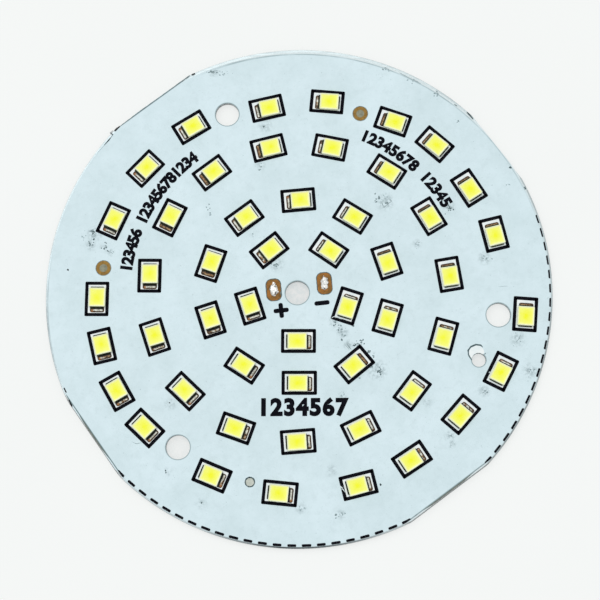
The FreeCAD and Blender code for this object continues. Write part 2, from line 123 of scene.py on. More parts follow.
def plate(length, width, corner, steps=3):
    # one flat face with rounded corners, round the origin
    shape = bmesh.new()
    bmesh.ops.create_grid(shape, x_segments=1, y_segments=1, size=0.5)
    bmesh.ops.scale(shape, vec=(length, width, 1), verts=shape.verts)
    bmesh.ops.bevel(
        shape, geom=shape.verts[:], affect="VERTICES", offset=corner, segments=steps, profile=0.5, material=-1
    )
    return shape


def disc(radius, sides):
    shape = bmesh.new()
    bmesh.ops.create_circle(shape, cap_ends=True, segments=sides, radius=radius)
    return shape


def newOf(result, kind):
    return [item for item in result["geom"] if isinstance(item, kind)]


def setHeight(shape, height):
    for vert in shape.verts:
        vert.co.z = height
    return shape


def raiseWalls(shape, steps):
    # walls up from the outline of one flat face through (x scale, y scale, height), closed at the top
    shape.edges.ensure_lookup_table()
    rim = [edge for edge in shape.edges if len(edge.link_faces) == 1]
    start = sum((v.co for v in shape.verts), Vector()) / len(shape.verts)
    lastX, lastY = 1, 1
    for scaleX, scaleY, height in steps:
        grown = bmesh.ops.extrude_edge_only(shape, edges=rim)
        verts = newOf(grown, bmesh.types.BMVert)
        rim = [edge for edge in newOf(grown, bmesh.types.BMEdge) if all(v in verts for v in edge.verts)]
        bmesh.ops.scale(
            shape, vec=(scaleX / lastX, scaleY / lastY, 1), verts=verts, space=Matrix.Translation(-start)
        )
        for vert in verts:
            vert.co.z = height
        lastX, lastY = scaleX, scaleY
    bmesh.ops.contextual_create(shape, geom=rim)
    bmesh.ops.recalc_face_normals(shape, faces=shape.faces)
    return shape


def thicken(shape, low, high):
    # a flat face, or several, becomes a slab between two heights
    faces = shape.faces[:]
    grown = bmesh.ops.extrude_face_region(shape, geom=faces)
    for vert in newOf(grown, bmesh.types.BMVert):
        vert.co.z = high
    for face in faces:
        if face.is_valid:
            for vert in face.verts:
                vert.co.z = low
    bmesh.ops.recalc_face_normals(shape, faces=shape.faces)
    return shape


def bar(length, width, corner, low, high):
    return thicken(plate(length, width, corner, 4), low, high)


def keepLocal(shape, length, width):
    # the piece's own UV map: place on a piece of this length and width, from 0 to 1
    layer = shape.loops.layers.uv.verify()
    for face in shape.faces:
        for loop in face.loops:
            loop[layer].uv = (loop.vert.co.x / length + 0.5, loop.vert.co.y / width + 0.5)
    return shape


def setValue(shape, name, value):
    # a number that the material reads as an attribute
    layer = shape.verts.layers.float.new(name)
    for vert in shape.verts:
        vert[layer] = value
    return shape


def placed(shape, place):
    # the shape's copy at a place on the board
    copy = shape.copy()
    shape.free()
    bmesh.ops.transform(copy, matrix=place, verts=copy.verts)
    return copy


def gather(shapes):
    # one bmesh out of several
    whole = bmesh.new()
    for shape in shapes:
        mesh = bpy.data.meshes.new("part")
        shape.to_mesh(mesh)
        shape.free()
        whole.from_mesh(mesh)
        bpy.data.meshes.remove(mesh)
    return whole


def outlinePoints(shape, place):
    # the corners of a flat face, at a place on the board
    face = next(iter(shape.faces))
    points = [place @ loop.vert.co for loop in face.loops]
    shape.free()
    return points


def flatPoints(pairs):
    return [Vector((x, y, 0)) for x, y in pairs]


def curveShape(curve, low, high):
    # a filled curve becomes a mesh between two heights before anything else
    holder = bpy.data.objects.new("outline", curve)
    scene.collection.objects.link(holder)
    bpy.context.view_layer.update()
    mesh = bpy.data.meshes.new_from_object(holder.evaluated_get(bpy.context.evaluated_depsgraph_get()))
    bpy.data.objects.remove(holder)
    shape = bmesh.new()
    shape.from_mesh(mesh)
    bpy.data.meshes.remove(mesh)
    bmesh.ops.remove_doubles(shape, verts=shape.verts, dist=0.0005)
    bmesh.ops.translate(shape, vec=(0, 0, (high + low) / 2), verts=shape.verts)
    return shape


def flatSheet(outlines, low, high, soft=0.0):
    # a sheet with openings and, where soft is given, rounded rims
    curve = bpy.data.curves.new("sheet", "CURVE")
    curve.dimensions = "2D"
    curve.fill_mode = "BOTH"
    curve.extrude = (high - low) / 2 - soft
    curve.bevel_depth = soft
    curve.bevel_resolution = 2
    curve.offset = -soft
    for points in outlines:
        line = curve.splines.new("POLY")
        line.points.add(len(points) - 1)
        for point, place in zip(line.points, points):
            point.co = (place.x, place.y, 0, 1)
        line.use_cyclic_u = True
    shape = curveShape(curve, low, high)
    bmesh.ops.recalc_face_normals(shape, faces=shape.faces)
    return shape


def makePiece(name, shape, slotName, material, *replaced, smooth=0):
    mesh = bpy.data.meshes.new(name)
    shape.to_mesh(mesh)
    shape.free()
    mesh.transform(Matrix.Scale(0.001, 4))
    mesh.materials.append(material)
    piece = bpy.data.objects.new(name, mesh)
    scene.collection.objects.link(piece)
    if smooth:
        mesh.shade_smooth()
        mesh.set_sharp_from_angle(angle=math.radians(smooth))
    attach(piece, "root")
    if replaced:
        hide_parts(*replaced)
    return piece


# helpers for materials: a look holds a material's colours, its noises as (blotch in millimetres, detail,
# roughness), and where the noise turns from one colour to the next


def srgb(red, green, blue):
    # a colour read on screen, 0 to 255, as the linear colour that a shader takes
    shares = (red / 255, green / 255, blue / 255)
    return (*(c / 12.92 if c <= 0.04045 else ((c + 0.055) / 1.055) ** 2.4 for c in shares), 1)


def newMaterial(name, look):
    # gives the material, its node tree, its shader and the place on the piece that its patterns read
    material = bpy.data.materials.new(name)
    material.use_nodes = True
    tree = material.node_tree
    shader = tree.nodes["Principled BSDF"]
    shader.inputs["Roughness"].default_value = look["roughness"]
    shader.inputs["Metallic"].default_value = look.get("metallic", 0.0)
    shader.inputs["Specular IOR Level"].default_value = look.get("specular", 0.5)
    return material, tree, shader, tree.nodes.new("ShaderNodeTexCoord").outputs["Object"]


def feed(tree, socket, value):
    # a number, a colour or another node's output goes into a socket
    if isinstance(value, (int, float, tuple)):
        socket.default_value = value
    else:
        tree.links.new(value, socket)


def addNoise(tree, place, size, detail=3.0, rough=0.5):
    node = tree.nodes.new("ShaderNodeTexNoise")
    node.inputs["Scale"].default_value = 1000 / size
    node.inputs["Detail"].default_value = detail
    node.inputs["Roughness"].default_value = rough
    tree.links.new(place, node.inputs["Vector"])
    return node.outputs["Fac"]


def addRange(tree, value, low, high, toLow=0.0, toHigh=1.0):
    node = tree.nodes.new("ShaderNodeMapRange")
    tree.links.new(value, node.inputs["Value"])
    node.inputs["From Min"].default_value = low
    node.inputs["From Max"].default_value = high
    node.inputs["To Min"].default_value = toLow
    node.inputs["To Max"].default_value = toHigh
    return node.outputs["Result"]


def addSpan(tree, length, low, high, toLow=0.0, toHigh=1.0):
    # the same for a length in metres, between two given in millimetres
    return addRange(tree, length, low / 1000, high / 1000, toLow, toHigh)


def addMath(tree, operation, first, *others):
    # further values are taken in one after another
    for other in others or (0,):
        node = tree.nodes.new("ShaderNodeMath")
        node.operation = operation
        feed(tree, node.inputs[0], first)
        feed(tree, node.inputs[1], other)
        first = node.outputs["Value"]
    return first


def addCorner(tree, x, y, acrossSpan, upSpan):
    # a strength that grows over a span across the board and over one up it
    return addMath(tree, "MULTIPLY", addSpan(tree, x, *acrossSpan), addSpan(tree, y, *upSpan))


def addMix(tree, amount, first, second):
    node = tree.nodes.new("ShaderNodeMix")
    node.data_type = "RGBA"
    node.clamp_factor = True
    for socket, value in ((node.inputs[0], amount), (node.inputs[6], first), (node.inputs[7], second)):
        feed(tree, socket, value)
    return node.outputs[2]


def addVector(tree, operation, place, other, output="Value"):
    node = tree.nodes.new("ShaderNodeVectorMath")
    node.operation = operation
    tree.links.new(place, node.inputs[0])
    node.inputs[1].default_value = other
    return node.outputs[output]


def distanceFrom(tree, place, x, y, z=0):
    # metres from a point of the board that is given in millimetres
    return addVector(tree, "DISTANCE", place, (x / 1000, y / 1000, z / 1000))


def splitPlace(tree, place):
    node = tree.nodes.new("ShaderNodeSeparateXYZ")
    tree.links.new(place, node.inputs[0])
    return node.outputs["X"], node.outputs["Y"], node.outputs["Z"]


def stretched(tree, place, scale):
    # a pattern is drawn out along an axis whose scale is under 1
    node = tree.nodes.new("ShaderNodeMapping")
    node.inputs["Scale"].default_value = scale
    tree.links.new(place, node.inputs["Vector"])
    return node.outputs["Vector"]


def addAttribute(tree, name):
    node = tree.nodes.new("ShaderNodeAttribute")
    node.attribute_name = name
    return node.outputs["Fac"]


def addUv(tree):
    return splitPlace(tree, tree.nodes.new("ShaderNodeTexCoord").outputs["UV"])[:2]


def addWobble(tree, place, noiseLook, amount):
    # a small push either way
    return addRange(tree, addNoise(tree, place, *noiseLook), 0.3, 0.7, -amount, amount)


def addTwoTone(tree, place, look):
    # two colours in blotches
    blotches = addRange(tree, addNoise(tree, place, *look["blotches"]), *look["spread"])
    return addMix(tree, blotches, look["dark"], look["pale"])


def addBump(tree, shader, height, strength, depth):
    # depth in millimetres
    node = tree.nodes.new("ShaderNodeBump")
    node.inputs["Strength"].default_value = strength
    node.inputs["Distance"].default_value = depth / 1000
    tree.links.new(height, node.inputs["Height"])
    tree.links.new(node.outputs["Normal"], shader.inputs["Normal"])


def paint(tree, shader, tone, place=None, look=None):
    # colours the shader and, where a look is given, adds its fine grain
    tree.links.new(tone, shader.inputs["Base Color"])
    if look:
        addBump(tree, shader, addNoise(tree, place, *look["grain"]), *look["bump"])


def twoToneMaterial(name, look):
    material, tree, shader, place = newMaterial(name, look)
    paint(tree, shader, addTwoTone(tree, place, look), place, look)
    return material


# sizes of the board that several pieces share

# the mask was printed a little low, so its bare rim is widest at the top; windows and packages sit a little
# to the right of the black print and below it
board = {
    "radius": 41.5, "sides": 360, "roll": 0.1, "x": -0.1, "y": 0.12,
    "maskRadius": 41.25, "maskLow": 0.5, "maskLeft": 0.3, "maskReach": 41.2, "skirtRadius": 40.6,
}
outlineShift = spotAt(board["x"], board["y"])
windowShift = spotAt(0.08, -0.2)
packageShift = spotAt(0.09, -0.07)
# flats: direction in degrees, distance at the lit face and how far the wall leans out
flats = ((36.2, 40.9, 0.15), (126.7, 40.85, 0.15), (215.5, 40.46, 0.4), (306.5, 40.22, 0.4))
screwHoles = {"radius": 1.95, "circle": 32.4, "x": 0.4, "y": 0.46, "first": 112.3, "count": 3}
middleHole = (-0.16, 0, 1.95)
smallHole = (29.2, -11.25, 1.12)
holes = [middleHole, smallHole]
for step in range(screwHoles["count"]):
    angle = math.radians(screwHoles["first"] + step * 360 / screwHoles["count"])
    holes.append((
        screwHoles["x"] + screwHoles["circle"] * math.cos(angle),
        screwHoles["y"] + screwHoles["circle"] * math.sin(angle), screwHoles["radius"],
    ))


def holeOutlines():
    return [outlinePoints(disc(radius, 72), spotAt(x, y)) for x, y, radius in holes]


def snapFlats(shape):
    # cuts the four sloping flats and closes their walls
    for direction, distance, slope in flats:
        out = outwards(direction)
        lean = (out * levels["maskTop"] + Vector((0, 0, slope))).normalized()
        lip = out * distance + Vector((0, 0, levels["maskTop"]))
        cutLine = bmesh.ops.bisect_plane(
            shape, geom=shape.verts[:] + shape.edges[:] + shape.faces[:], plane_co=lip, plane_no=lean,
            clear_outer=True, dist=0.0001,
        )
        cutEdges = [item for item in cutLine["geom_cut"] if isinstance(item, bmesh.types.BMEdge)]
        bmesh.ops.contextual_create(shape, geom=cutEdges)
    bmesh.ops.recalc_face_normals(shape, faces=shape.faces)
    return shape


# base plate of rolled aluminium, with a bare rim round the mask and torn walls where it was snapped off

aluminiumLook = {
    "dark": srgb(190, 193, 196), "pale": srgb(214, 216, 218),
    "blotches": (0.25, 4, 0.6), "spread": (0.3, 0.7), "stretch": (0.04, 1, 1),
    "patch": srgb(160, 164, 168), "patches": (7, 3),
    # the rim's second tone is the same rim in painted shade, used at the left of the board
    "rim": srgb(187, 198, 201), "rimShadedLeft": srgb(186, 198, 202),
    "bump": (0.1, 0.005), "roughness": 0.38, "metallic": 0.9,
}
snappedLook = {
    "dark": srgb(150, 154, 157), "pale": srgb(214, 217, 218),
    "blotches": (0.18, 4, 0.7), "spread": (0.35, 0.65), "stretch": (1, 1, 0.15),
    # the foot colour is a painted contact shadow, laid on the wall below the given height
    "patch": srgb(128, 134, 138), "patches": (2.5, 3), "foot": srgb(84, 90, 94), "footShadeHeight": (0.2, 0.08),
    "bump": (0.5, 0.04), "roughness": 0.6, "metallic": 0.5,
}
# distances from the middle and a height, in millimetres, between which the rim and its dark line of painted
# shade set in; then where the line grows at the foot, the right and the left: from and to, in millimetres,
# and both strengths; noise makes the line uneven, and the last span is where the rim turns to a painted
# shaded tone at the left
rimLook = {
    "start": (40.7, 40.75), "lineStart": (41.18, 41.3), "height": (0.4, 0.6),
    "foot": (-38.5, -41.3, 0.02, 0.92),
    "right": ((18, 30, 0, 0.36), (0, -10, 0.3, 1)), "left": ((-38.5, -40.5, 0, 0.34), (4, -6)),
    "line": srgb(52, 62, 66), "unevenShade": (6, 4), "wear": (0.35, 0.65, -0.12, 0.12), "leftShadeSpan": (-12, -24),
}


def rimToneWithPaintedShade(tree, place, tone, pale, leftShade):
    # the lit face's bare rim, with a dark line of painted shade that is strongest at the foot and shows at
    # the right and left, and a painted shaded tone at the left
    x, y, z = splitPlace(tree, place)
    level = addVector(tree, "MULTIPLY", place, (1, 1, 0), "Vector")
    outward = distanceFrom(tree, level, board["x"], board["y"])
    unevenShade = addRange(tree, addNoise(tree, place, *rimLook["unevenShade"]), *rimLook["wear"])
    foot = addSpan(tree, y, *rimLook["foot"])
    right, left = [addCorner(tree, x, y, *rimLook[side]) for side in ("right", "left")]
    dark = addMath(tree, "ADD", addMath(tree, "MAXIMUM", foot, right, left), unevenShade)
    above = addSpan(tree, z, *rimLook["height"])
    rim = addMath(tree, "MULTIPLY", addSpan(tree, outward, *rimLook["start"]), above)
    line = addMath(tree, "MULTIPLY", addSpan(tree, outward, *rimLook["lineStart"]), above, dark)
    tone = addMix(tree, rim, tone, addMix(tree, addSpan(tree, x, *rimLook["leftShadeSpan"]), pale, leftShade))
    return addMix(tree, line, tone, rimLook["line"])


def rolledAluminium():
    look = aluminiumLook
    material, tree, shader, place = newMaterial("aluminium", look)
    streaks = stretched(tree, place, look["stretch"])
    tone = addTwoTone(tree, streaks, look)
    patch = addRange(tree, addNoise(tree, place, *look["patches"]), 0.45, 0.7, 0, 0.35)
    tone = addMix(tree, patch, tone, look["patch"])
    # the rim gets a painted shade line at its edge and a painted shaded tone at the left
    paint(tree, shader, rimToneWithPaintedShade(tree, place, tone, look["rim"], look["rimShadedLeft"]))
    rolled = addNoise(tree, streaks, *look["blotches"])
    tree.links.new(addRange(tree, rolled, 0.3, 0.7, 0.3, 0.5), shader.inputs["Roughness"])
    addBump(tree, shader, rolled, *look["bump"])
    return material


def snappedWall():
    look = snappedLook
    material, tree, shader, place = newMaterial("snappedEdge", look)
    torn = stretched(tree, place, look["stretch"])
    tone = addTwoTone(tree, torn, look)
    patch = addRange(tree, addNoise(tree, place, *look["patches"]), 0.45, 0.65, 0, 0.35)
    tone = addMix(tree, patch, tone, look["patch"])
    height = splitPlace(tree, place)[2]
    # painted contact shadow: the wall turns dark towards its foot
    paint(tree, shader, addMix(tree, addSpan(tree, height, *look["footShadeHeight"]), tone, look["foot"]))
    addBump(tree, shader, addNoise(tree, torn, *look["blotches"]), *look["bump"])
    return material


snappedEdge = snappedWall()
punchedEdge = outlinePoints(disc(board["radius"], board["sides"]), outlineShift)
plateShape = snapFlats(flatSheet([punchedEdge] + holeOutlines(), 0, levels["plateTop"], board["roll"]))
for face in plateShape.faces:
    if abs(face.normal.z) < 0.9:
        face.material_index = 1
basePlate = makePiece("basePlate", plateShape, "bare_aluminium", rolledAluminium(), "base_plate", smooth=20)
basePlate.data.materials.append(snappedEdge)


# white mask, open at the pads, the targets and the test dot

maskLook = {
    "dark": srgb(206, 225, 231), "pale": srgb(217, 235, 242),
    "blotches": (9, 6, 0.72), "spread": (0.34, 0.62),
    "mottle": srgb(199, 217, 223), "mottling": (1.3, 4, 0.75), "smudge": srgb(84, 108, 112),
    # the edge colour is painted shade for the mask's edge
    "ragged": (0.55, 4, 0.75), "dust": (0.4, 2, 0.8), "edge": srgb(96, 122, 126), "edgeShadeStart": (41.0, 41.12),
    "gloss": (2.5, 3), "grain": (0.6, 3), "bump": (0.15, 0.02), "roughness": 0.42,
}
# where the mask's edge is darkened with painted shade: spans in millimetres with both strengths, as on the
# rim; then a lip along the flats and round the holes, from and to, in millimetres inside the edge, and how
# dark
edgeShadeLook = {
    "broken": (3, 3), "gaps": (0.3, 0.6, 0.3, 1),
    "upperRight": ((-16.5, -13.5, 0.05, 1), (10, 30, 0.1, 0.5)), "left": ((-37.5, -39.5, 0, 0.6), (7, -1)),
    "flatLip": (0.2, 0.08), "flatStrengths": (0.35, 1, 1, 0.8), "holeLip": (0.2, 0.06), "holeStrength": 0.75,
}
# soft grey smudges on the mask: x, y and radius in millimetres, and how dark
smudges = (
    (-33.7, 10.1, 1.6, 0.5), (-34.3, 8.2, 1.2, 0.4), (-32.1, 7.7, 1.0, 0.35), (-30.9, 7.0, 0.8, 0.4),
    (-5.5, 28.3, 1.5, 0.3), (-6.3, 21.6, 1.2, 0.3), (14.4, 15.1, 1.8, 0.45), (-14.2, 37.8, 1.1, 0.35),
    (-20.7, -18.1, 1.3, 0.3), (-21.1, -29.2, 1.0, 0.3), (-15.6, -34.2, 1.1, 0.35), (12.8, -12.8, 2.0, 0.5),
    (7.0, -17.0, 1.0, 0.35), (5.4, -29.0, 1.2, 0.3), (0.4, -35.1, 1.2, 0.3), (6.8, -36.0, 1.0, 0.35),
    (30.5, 5.5, 1.3, 0.45), (19.5, 8.0, 1.0, 0.3), (35.6, -7.9, 1.6, 0.35), (37.4, -13.0, 1.5, 0.45),
    (20.8, -18.1, 1.0, 0.3), (24.4, -23.5, 1.2, 0.35), (24.6, -24.8, 0.9, 0.35), (24.9, 14.1, 1.2, 0.4),
    (29.9, -16.3, 1.2, 0.45), (-3.5, 4.7, 1.5, 0.4), (5.9, -4.8, 1.2, 0.55), (7.2, -6.6, 1.2, 0.5),
    (8.2, -8.7, 1.0, 0.5),
)


def maskEdgeShade(tree, place):
    # painted shade: dark lines at the mask's edge, most at the upper right and the left, along the flats and
    # round the holes
    look = edgeShadeLook
    top = levels["maskTop"]
    x, y = splitPlace(tree, place)[:2]
    outward = distanceFrom(tree, place, board["x"], board["y"] - board["maskLow"], top)
    broken = addRange(tree, addNoise(tree, place, *look["broken"]), *look["gaps"])
    corners = [addCorner(tree, x, y, *look[side]) for side in ("upperRight", "left")]
    sides = addMath(tree, "MAXIMUM", *corners)
    edgeShade = addMath(tree, "MULTIPLY", addSpan(tree, outward, *maskLook["edgeShadeStart"]), broken, sides)
    lipStart, lipEnd = look["flatLip"]
    for (direction, distance, slope), strength in zip(flats, look["flatStrengths"]):
        along = addVector(tree, "DOT_PRODUCT", place, outwards(direction))
        lip = addSpan(tree, along, distance - lipStart, distance - lipEnd, 0, strength)
        edgeShade = addMath(tree, "MAXIMUM", edgeShade, lip)
    lipStart, lipEnd = look["holeLip"]
    for x, y, radius in holes:
        reach = distanceFrom(tree, place, x, y, top)
        lip = addSpan(tree, reach, radius + lipStart, radius + lipEnd, 0, look["holeStrength"])
        edgeShade = addMath(tree, "MAXIMUM", edgeShade, lip)
    return edgeShade


def smudgedMask():
    look = maskLook
    material, tree, shader, place = newMaterial("whiteMask", look)
    mottled = addRange(tree, addNoise(tree, place, *look["mottling"]), 0.5, 0.72, 0, 0.5)
    tone = addMix(tree, mottled, addTwoTone(tree, place, look), look["mottle"])
    smudged = 0.0
    for x, y, radius, dark in smudges:
        reach = distanceFrom(tree, place, x, y, levels["maskTop"])
        smudged = addMath(tree, "MAXIMUM", smudged, addSpan(tree, reach, radius, radius / 3, 0, dark))
    ragged = addRange(tree, addNoise(tree, place, *look["ragged"]), 0.44, 0.58)
    tone = addMix(tree, addMath(tree, "MULTIPLY", smudged, ragged), tone, look["smudge"])
    dust = addRange(tree, addNoise(tree, place, *look["dust"]), 0.68, 0.78, 0, 0.35)
    tone = addMix(tree, dust, tone, look["smudge"])
    # painted edge shade is laid over the mask's tone
    paint(tree, shader, addMix(tree, maskEdgeShade(tree, place), tone, look["edge"]), place, look)
    gloss = addRange(tree, addNoise(tree, place, *look["gloss"]), 0.3, 0.7, 0.36, 0.5)
    tree.links.new(gloss, shader.inputs["Roughness"])
    return material


padWindow = {"start": -1.9, "end": 2.05, "width": 2.36, "corner": 0.3}
wirePads = {
    "length": 3.6, "width": 2.4, "corner": 0.95, "tilt": 5, "plus": (-4.1, 0.13), "minus": (4.2, 1.15),
}
targets = {"radius": 1.24, "places": ((10.27, 29.94), (-32.22, 4.0))}
testDot = {"radius": 0.75, "place": (-7.84, -31.18)}
wirePadPlaces = [onPrint(*wirePads[name], wirePads["tilt"]) for name in ("plus", "minus")]
targetPlaces = [onPrint(x, y) for x, y in targets["places"]]
testDotPlace = onPrint(*testDot["place"])


def maskEdge():
    points = []
    for step in range(board["sides"]):
        angle = math.radians(step * 360 / board["sides"])
        reach = board["maskRadius"] - board["maskLow"] * math.sin(angle)
        reach = min(board["maskReach"], reach + board["maskLeft"] * max(0, -math.cos(angle)))
        points.append(outlineShift @ Vector((reach * math.cos(angle), reach * math.sin(angle), 0)))
    return points


def padOutlines():
    length = padWindow["end"] - padWindow["start"]
    middle = spotAt((padWindow["end"] + padWindow["start"]) / 2, 0)
    return [
        outlinePoints(plate(length, padWindow["width"], padWindow["corner"]), windowShift @ site @ middle)
        for site in sites
    ]


def wirePadShape(margin=0.0):
    return plate(wirePads["width"] + margin, wirePads["length"] + margin, wirePads["corner"], 8)


maskOutlines = [maskEdge()] + holeOutlines() + padOutlines()
maskOutlines += [outlinePoints(wirePadShape(), place) for place in wirePadPlaces]
maskOutlines += [outlinePoints(disc(targets["radius"], 40), place) for place in targetPlaces]
maskOutlines.append(outlinePoints(disc(testDot["radius"], 32), testDotPlace))
skirtOutlines = [maskEdge(), outlinePoints(disc(board["skirtRadius"], 180), outlineShift)]
skirt = flatSheet(skirtOutlines, levels["foilBottom"], levels["foilTop"])
maskShape = gather([flatSheet(maskOutlines, levels["foilTop"], levels["maskTop"]), skirt])
makePiece("solderMask", snapFlats(maskShape), "white_mask", smudgedMask(), "solder_mask")
print("plate and mask made")


# black print: frames, marks, dashes and plain digits

inkLook = {
    "dark": srgb(2, 2, 9), "pale": srgb(20, 20, 30), "blotches": (0.4, 4, 0.7), "spread": (0.4, 0.75),
    "grain": (0.25, 2), "bump": (0.2, 0.01), "roughness": 0.8, "specular": 0.08,
}
printed = {
    "frameLength": 5.73, "frameWidth": 3.97, "line": 0.55, "corner": 0.18, "uneven": 0.03, "lineUneven": 0.02,
}
marks = {"length": 2.5, "line": 0.73, "corner": 0.33, "tilt": 6, "plus": (-2.87, -3.3), "minus": (3.8, -2.1)}
dashes = {
    "x": -0.15, "y": -0.14, "radius": 41.115, "count": 110, "length": 1.48, "uneven": 0.08, "line": 0.42,
    "corner": 0.16, "first": 0.3, "flatGap": 0.03, "edgeReach": 0.02,
}
# where the dashed circle is left on the board, in degrees; two of its dashes are mostly cut off at the left
dashSpans = ((-45, 18.4), (226, 299))
dashEnds = (((-37.3, -17.4), (-36.76, -18.5)), ((-38.17, -15.45), (-37.74, -16.25)))
dashEndBar = {"line": 0.2, "corner": 0.08}
# plain counting digits: on two arcs, from start to end in degrees, and in one row
digitArcs = (
    {"digits": "123456 123456781234", "radius": 28.6, "start": 172, "end": 128},
    {"digits": "12345678 12345", "radius": 28.2, "start": 67, "end": 31},
)
arcDigit = {"height": 1.8, "weight": 0.15}
digitRow = {"digits": "1234567", "x": -5.7, "y": -19.3, "pitch": 2.1}
rowDigit = {"height": 2.6, "weight": 0.2}


def frameShape():
    length = printed["frameLength"] + rng.uniform(-printed["uneven"], printed["uneven"])
    width = printed["frameWidth"] + rng.uniform(-printed["uneven"], printed["uneven"])
    line = printed["line"] + rng.uniform(-printed["lineUneven"], printed["lineUneven"])
    shape = plate(length, width, printed["corner"], 2)
    inset = bmesh.ops.inset_region(
        shape, faces=shape.faces[:], thickness=line, use_boundary=True, use_even_offset=True
    )
    inside = [face for face in shape.faces if face not in inset["faces"]]
    bmesh.ops.delete(shape, geom=inside, context="FACES_ONLY")
    return thicken(shape, *inkHeights)


def markBars():
    # the plus mark's upright lies a hair lower than its crossbar
    low, high = inkHeights
    length, line, corner = marks["length"], marks["line"], marks["corner"]
    plusPlace = onPrint(*marks["plus"], marks["tilt"])
    minusPlace = onPrint(*marks["minus"], marks["tilt"])
    return [
        placed(bar(length, line, corner, low, high), plusPlace),
        placed(bar(line, length, corner, low, high - 0.0005), plusPlace),
        placed(bar(length, line, corner, low, high), minusPlace),
    ]


def dashShapes():
    shapes = []
    for step in range(dashes["count"]):
        angle = math.radians(dashes["first"] + step * 360 / dashes["count"])
        x = ringCentre.x + dashes["x"] + dashes["radius"] * math.cos(angle)
        y = ringCentre.y + dashes["y"] + dashes["radius"] * math.sin(angle)
        out = Vector((x - board["x"], y - board["y"], 0))
        bearing = math.degrees(math.atan2(out.y, out.x))
        if not any(start < bearing + lap < end for start, end in dashSpans for lap in (0, 360)):
            continue
        length = dashes["length"] + rng.uniform(-dashes["uneven"], dashes["uneven"])
        dash = bar(length, dashes["line"], dashes["corner"], *inkHeights)
        dash = placed(dash, spotAt(x, y, angle + math.pi / 2))
        edge = outlineShift @ (out.normalized() * (board["maskReach"] + dashes["edgeReach"]))
        cutPlanes = [(edge, out.normalized())]
        for direction, distance, slope in flats:
            cutPlanes.append((outwards(direction) * (distance - dashes["flatGap"]), outwards(direction)))
        for middle, normal in cutPlanes:
            bmesh.ops.bisect_plane(
                dash, geom=dash.verts[:] + dash.edges[:] + dash.faces[:], plane_co=middle, plane_no=normal,
                clear_outer=True,
            )
        if dash.faces:
            bmesh.ops.holes_fill(dash, edges=dash.edges)
            shapes.append(dash)
    for start, end in dashEnds:
        run = Vector(end) - Vector(start)
        middle = (Vector(end) + Vector(start)) / 2
        shape = bar(run.length, dashEndBar["line"], dashEndBar["corner"], *inkHeights)
        shapes.append(placed(shape, spotAt(middle.x, middle.y, math.atan2(run.y, run.x))))
    return shapes


def digitShape(digit, height, weight):
    # one digit as a mesh round its own middle
    curve = bpy.data.curves.new("digit", "FONT")
    curve.body = digit
    curve.size = height / 0.7  # a digit stands 0.7 of the letter size
    curve.align_x = "CENTER"
    curve.align_y = "CENTER"
    curve.offset = weight
    curve.resolution_u = 4
    curve.extrude = (inkHeights[1] - inkHeights[0]) / 2
    return curveShape(curve, *inkHeights)


def digitShapes():
    shapes = []
    for arc in digitArcs:
        pitch = (arc["end"] - arc["start"]) / (len(arc["digits"]) - 1)
        for step, digit in enumerate(arc["digits"]):
            if digit == " ":
                continue
            angle = arc["start"] + pitch * step
            x = arc["radius"] * math.cos(math.radians(angle))
            y = arc["radius"] * math.sin(math.radians(angle))
            shapes.append(placed(digitShape(digit, **arcDigit), onPrint(x, y, angle - 90)))
    for step, digit in enumerate(digitRow["digits"]):
        place = onPrint(digitRow["x"] + step * digitRow["pitch"], digitRow["y"])
        shapes.append(placed(digitShape(digit, **rowDigit), place))
    return shapes


frames = [placed(frameShape(), site) for site in sites]
blackPrint = gather(frames + markBars() + dashShapes() + digitShapes())
makePiece("screenPrint", blackPrint, "black_ink", twoToneMaterial("blackInk", inkLook), "silkscreen")
print("print made")


# wear: flecks, hair lines and burrs, whose tint is -1 for pale, 0 for faint, 1 for dark and 2 for black

wornLook = {
    "pale": srgb(216, 229, 233), "faint": srgb(168, 188, 194), "dark": srgb(58, 82, 86),
    "black": srgb(12, 16, 18), "uneven": (0.3, 3), "roughness": 0.6,
}
wearRng = random.Random(29)
fleck = {"radius": (0.05, 0.17), "sides": 7, "long": (0.6, 1.5), "wide": (0.6, 1.3), "rise": (0.002, 0.004)}
wearLine = {"step": 0.35, "ends": 0.35, "uneven": (0.6, 1.3), "rise": 0.005}
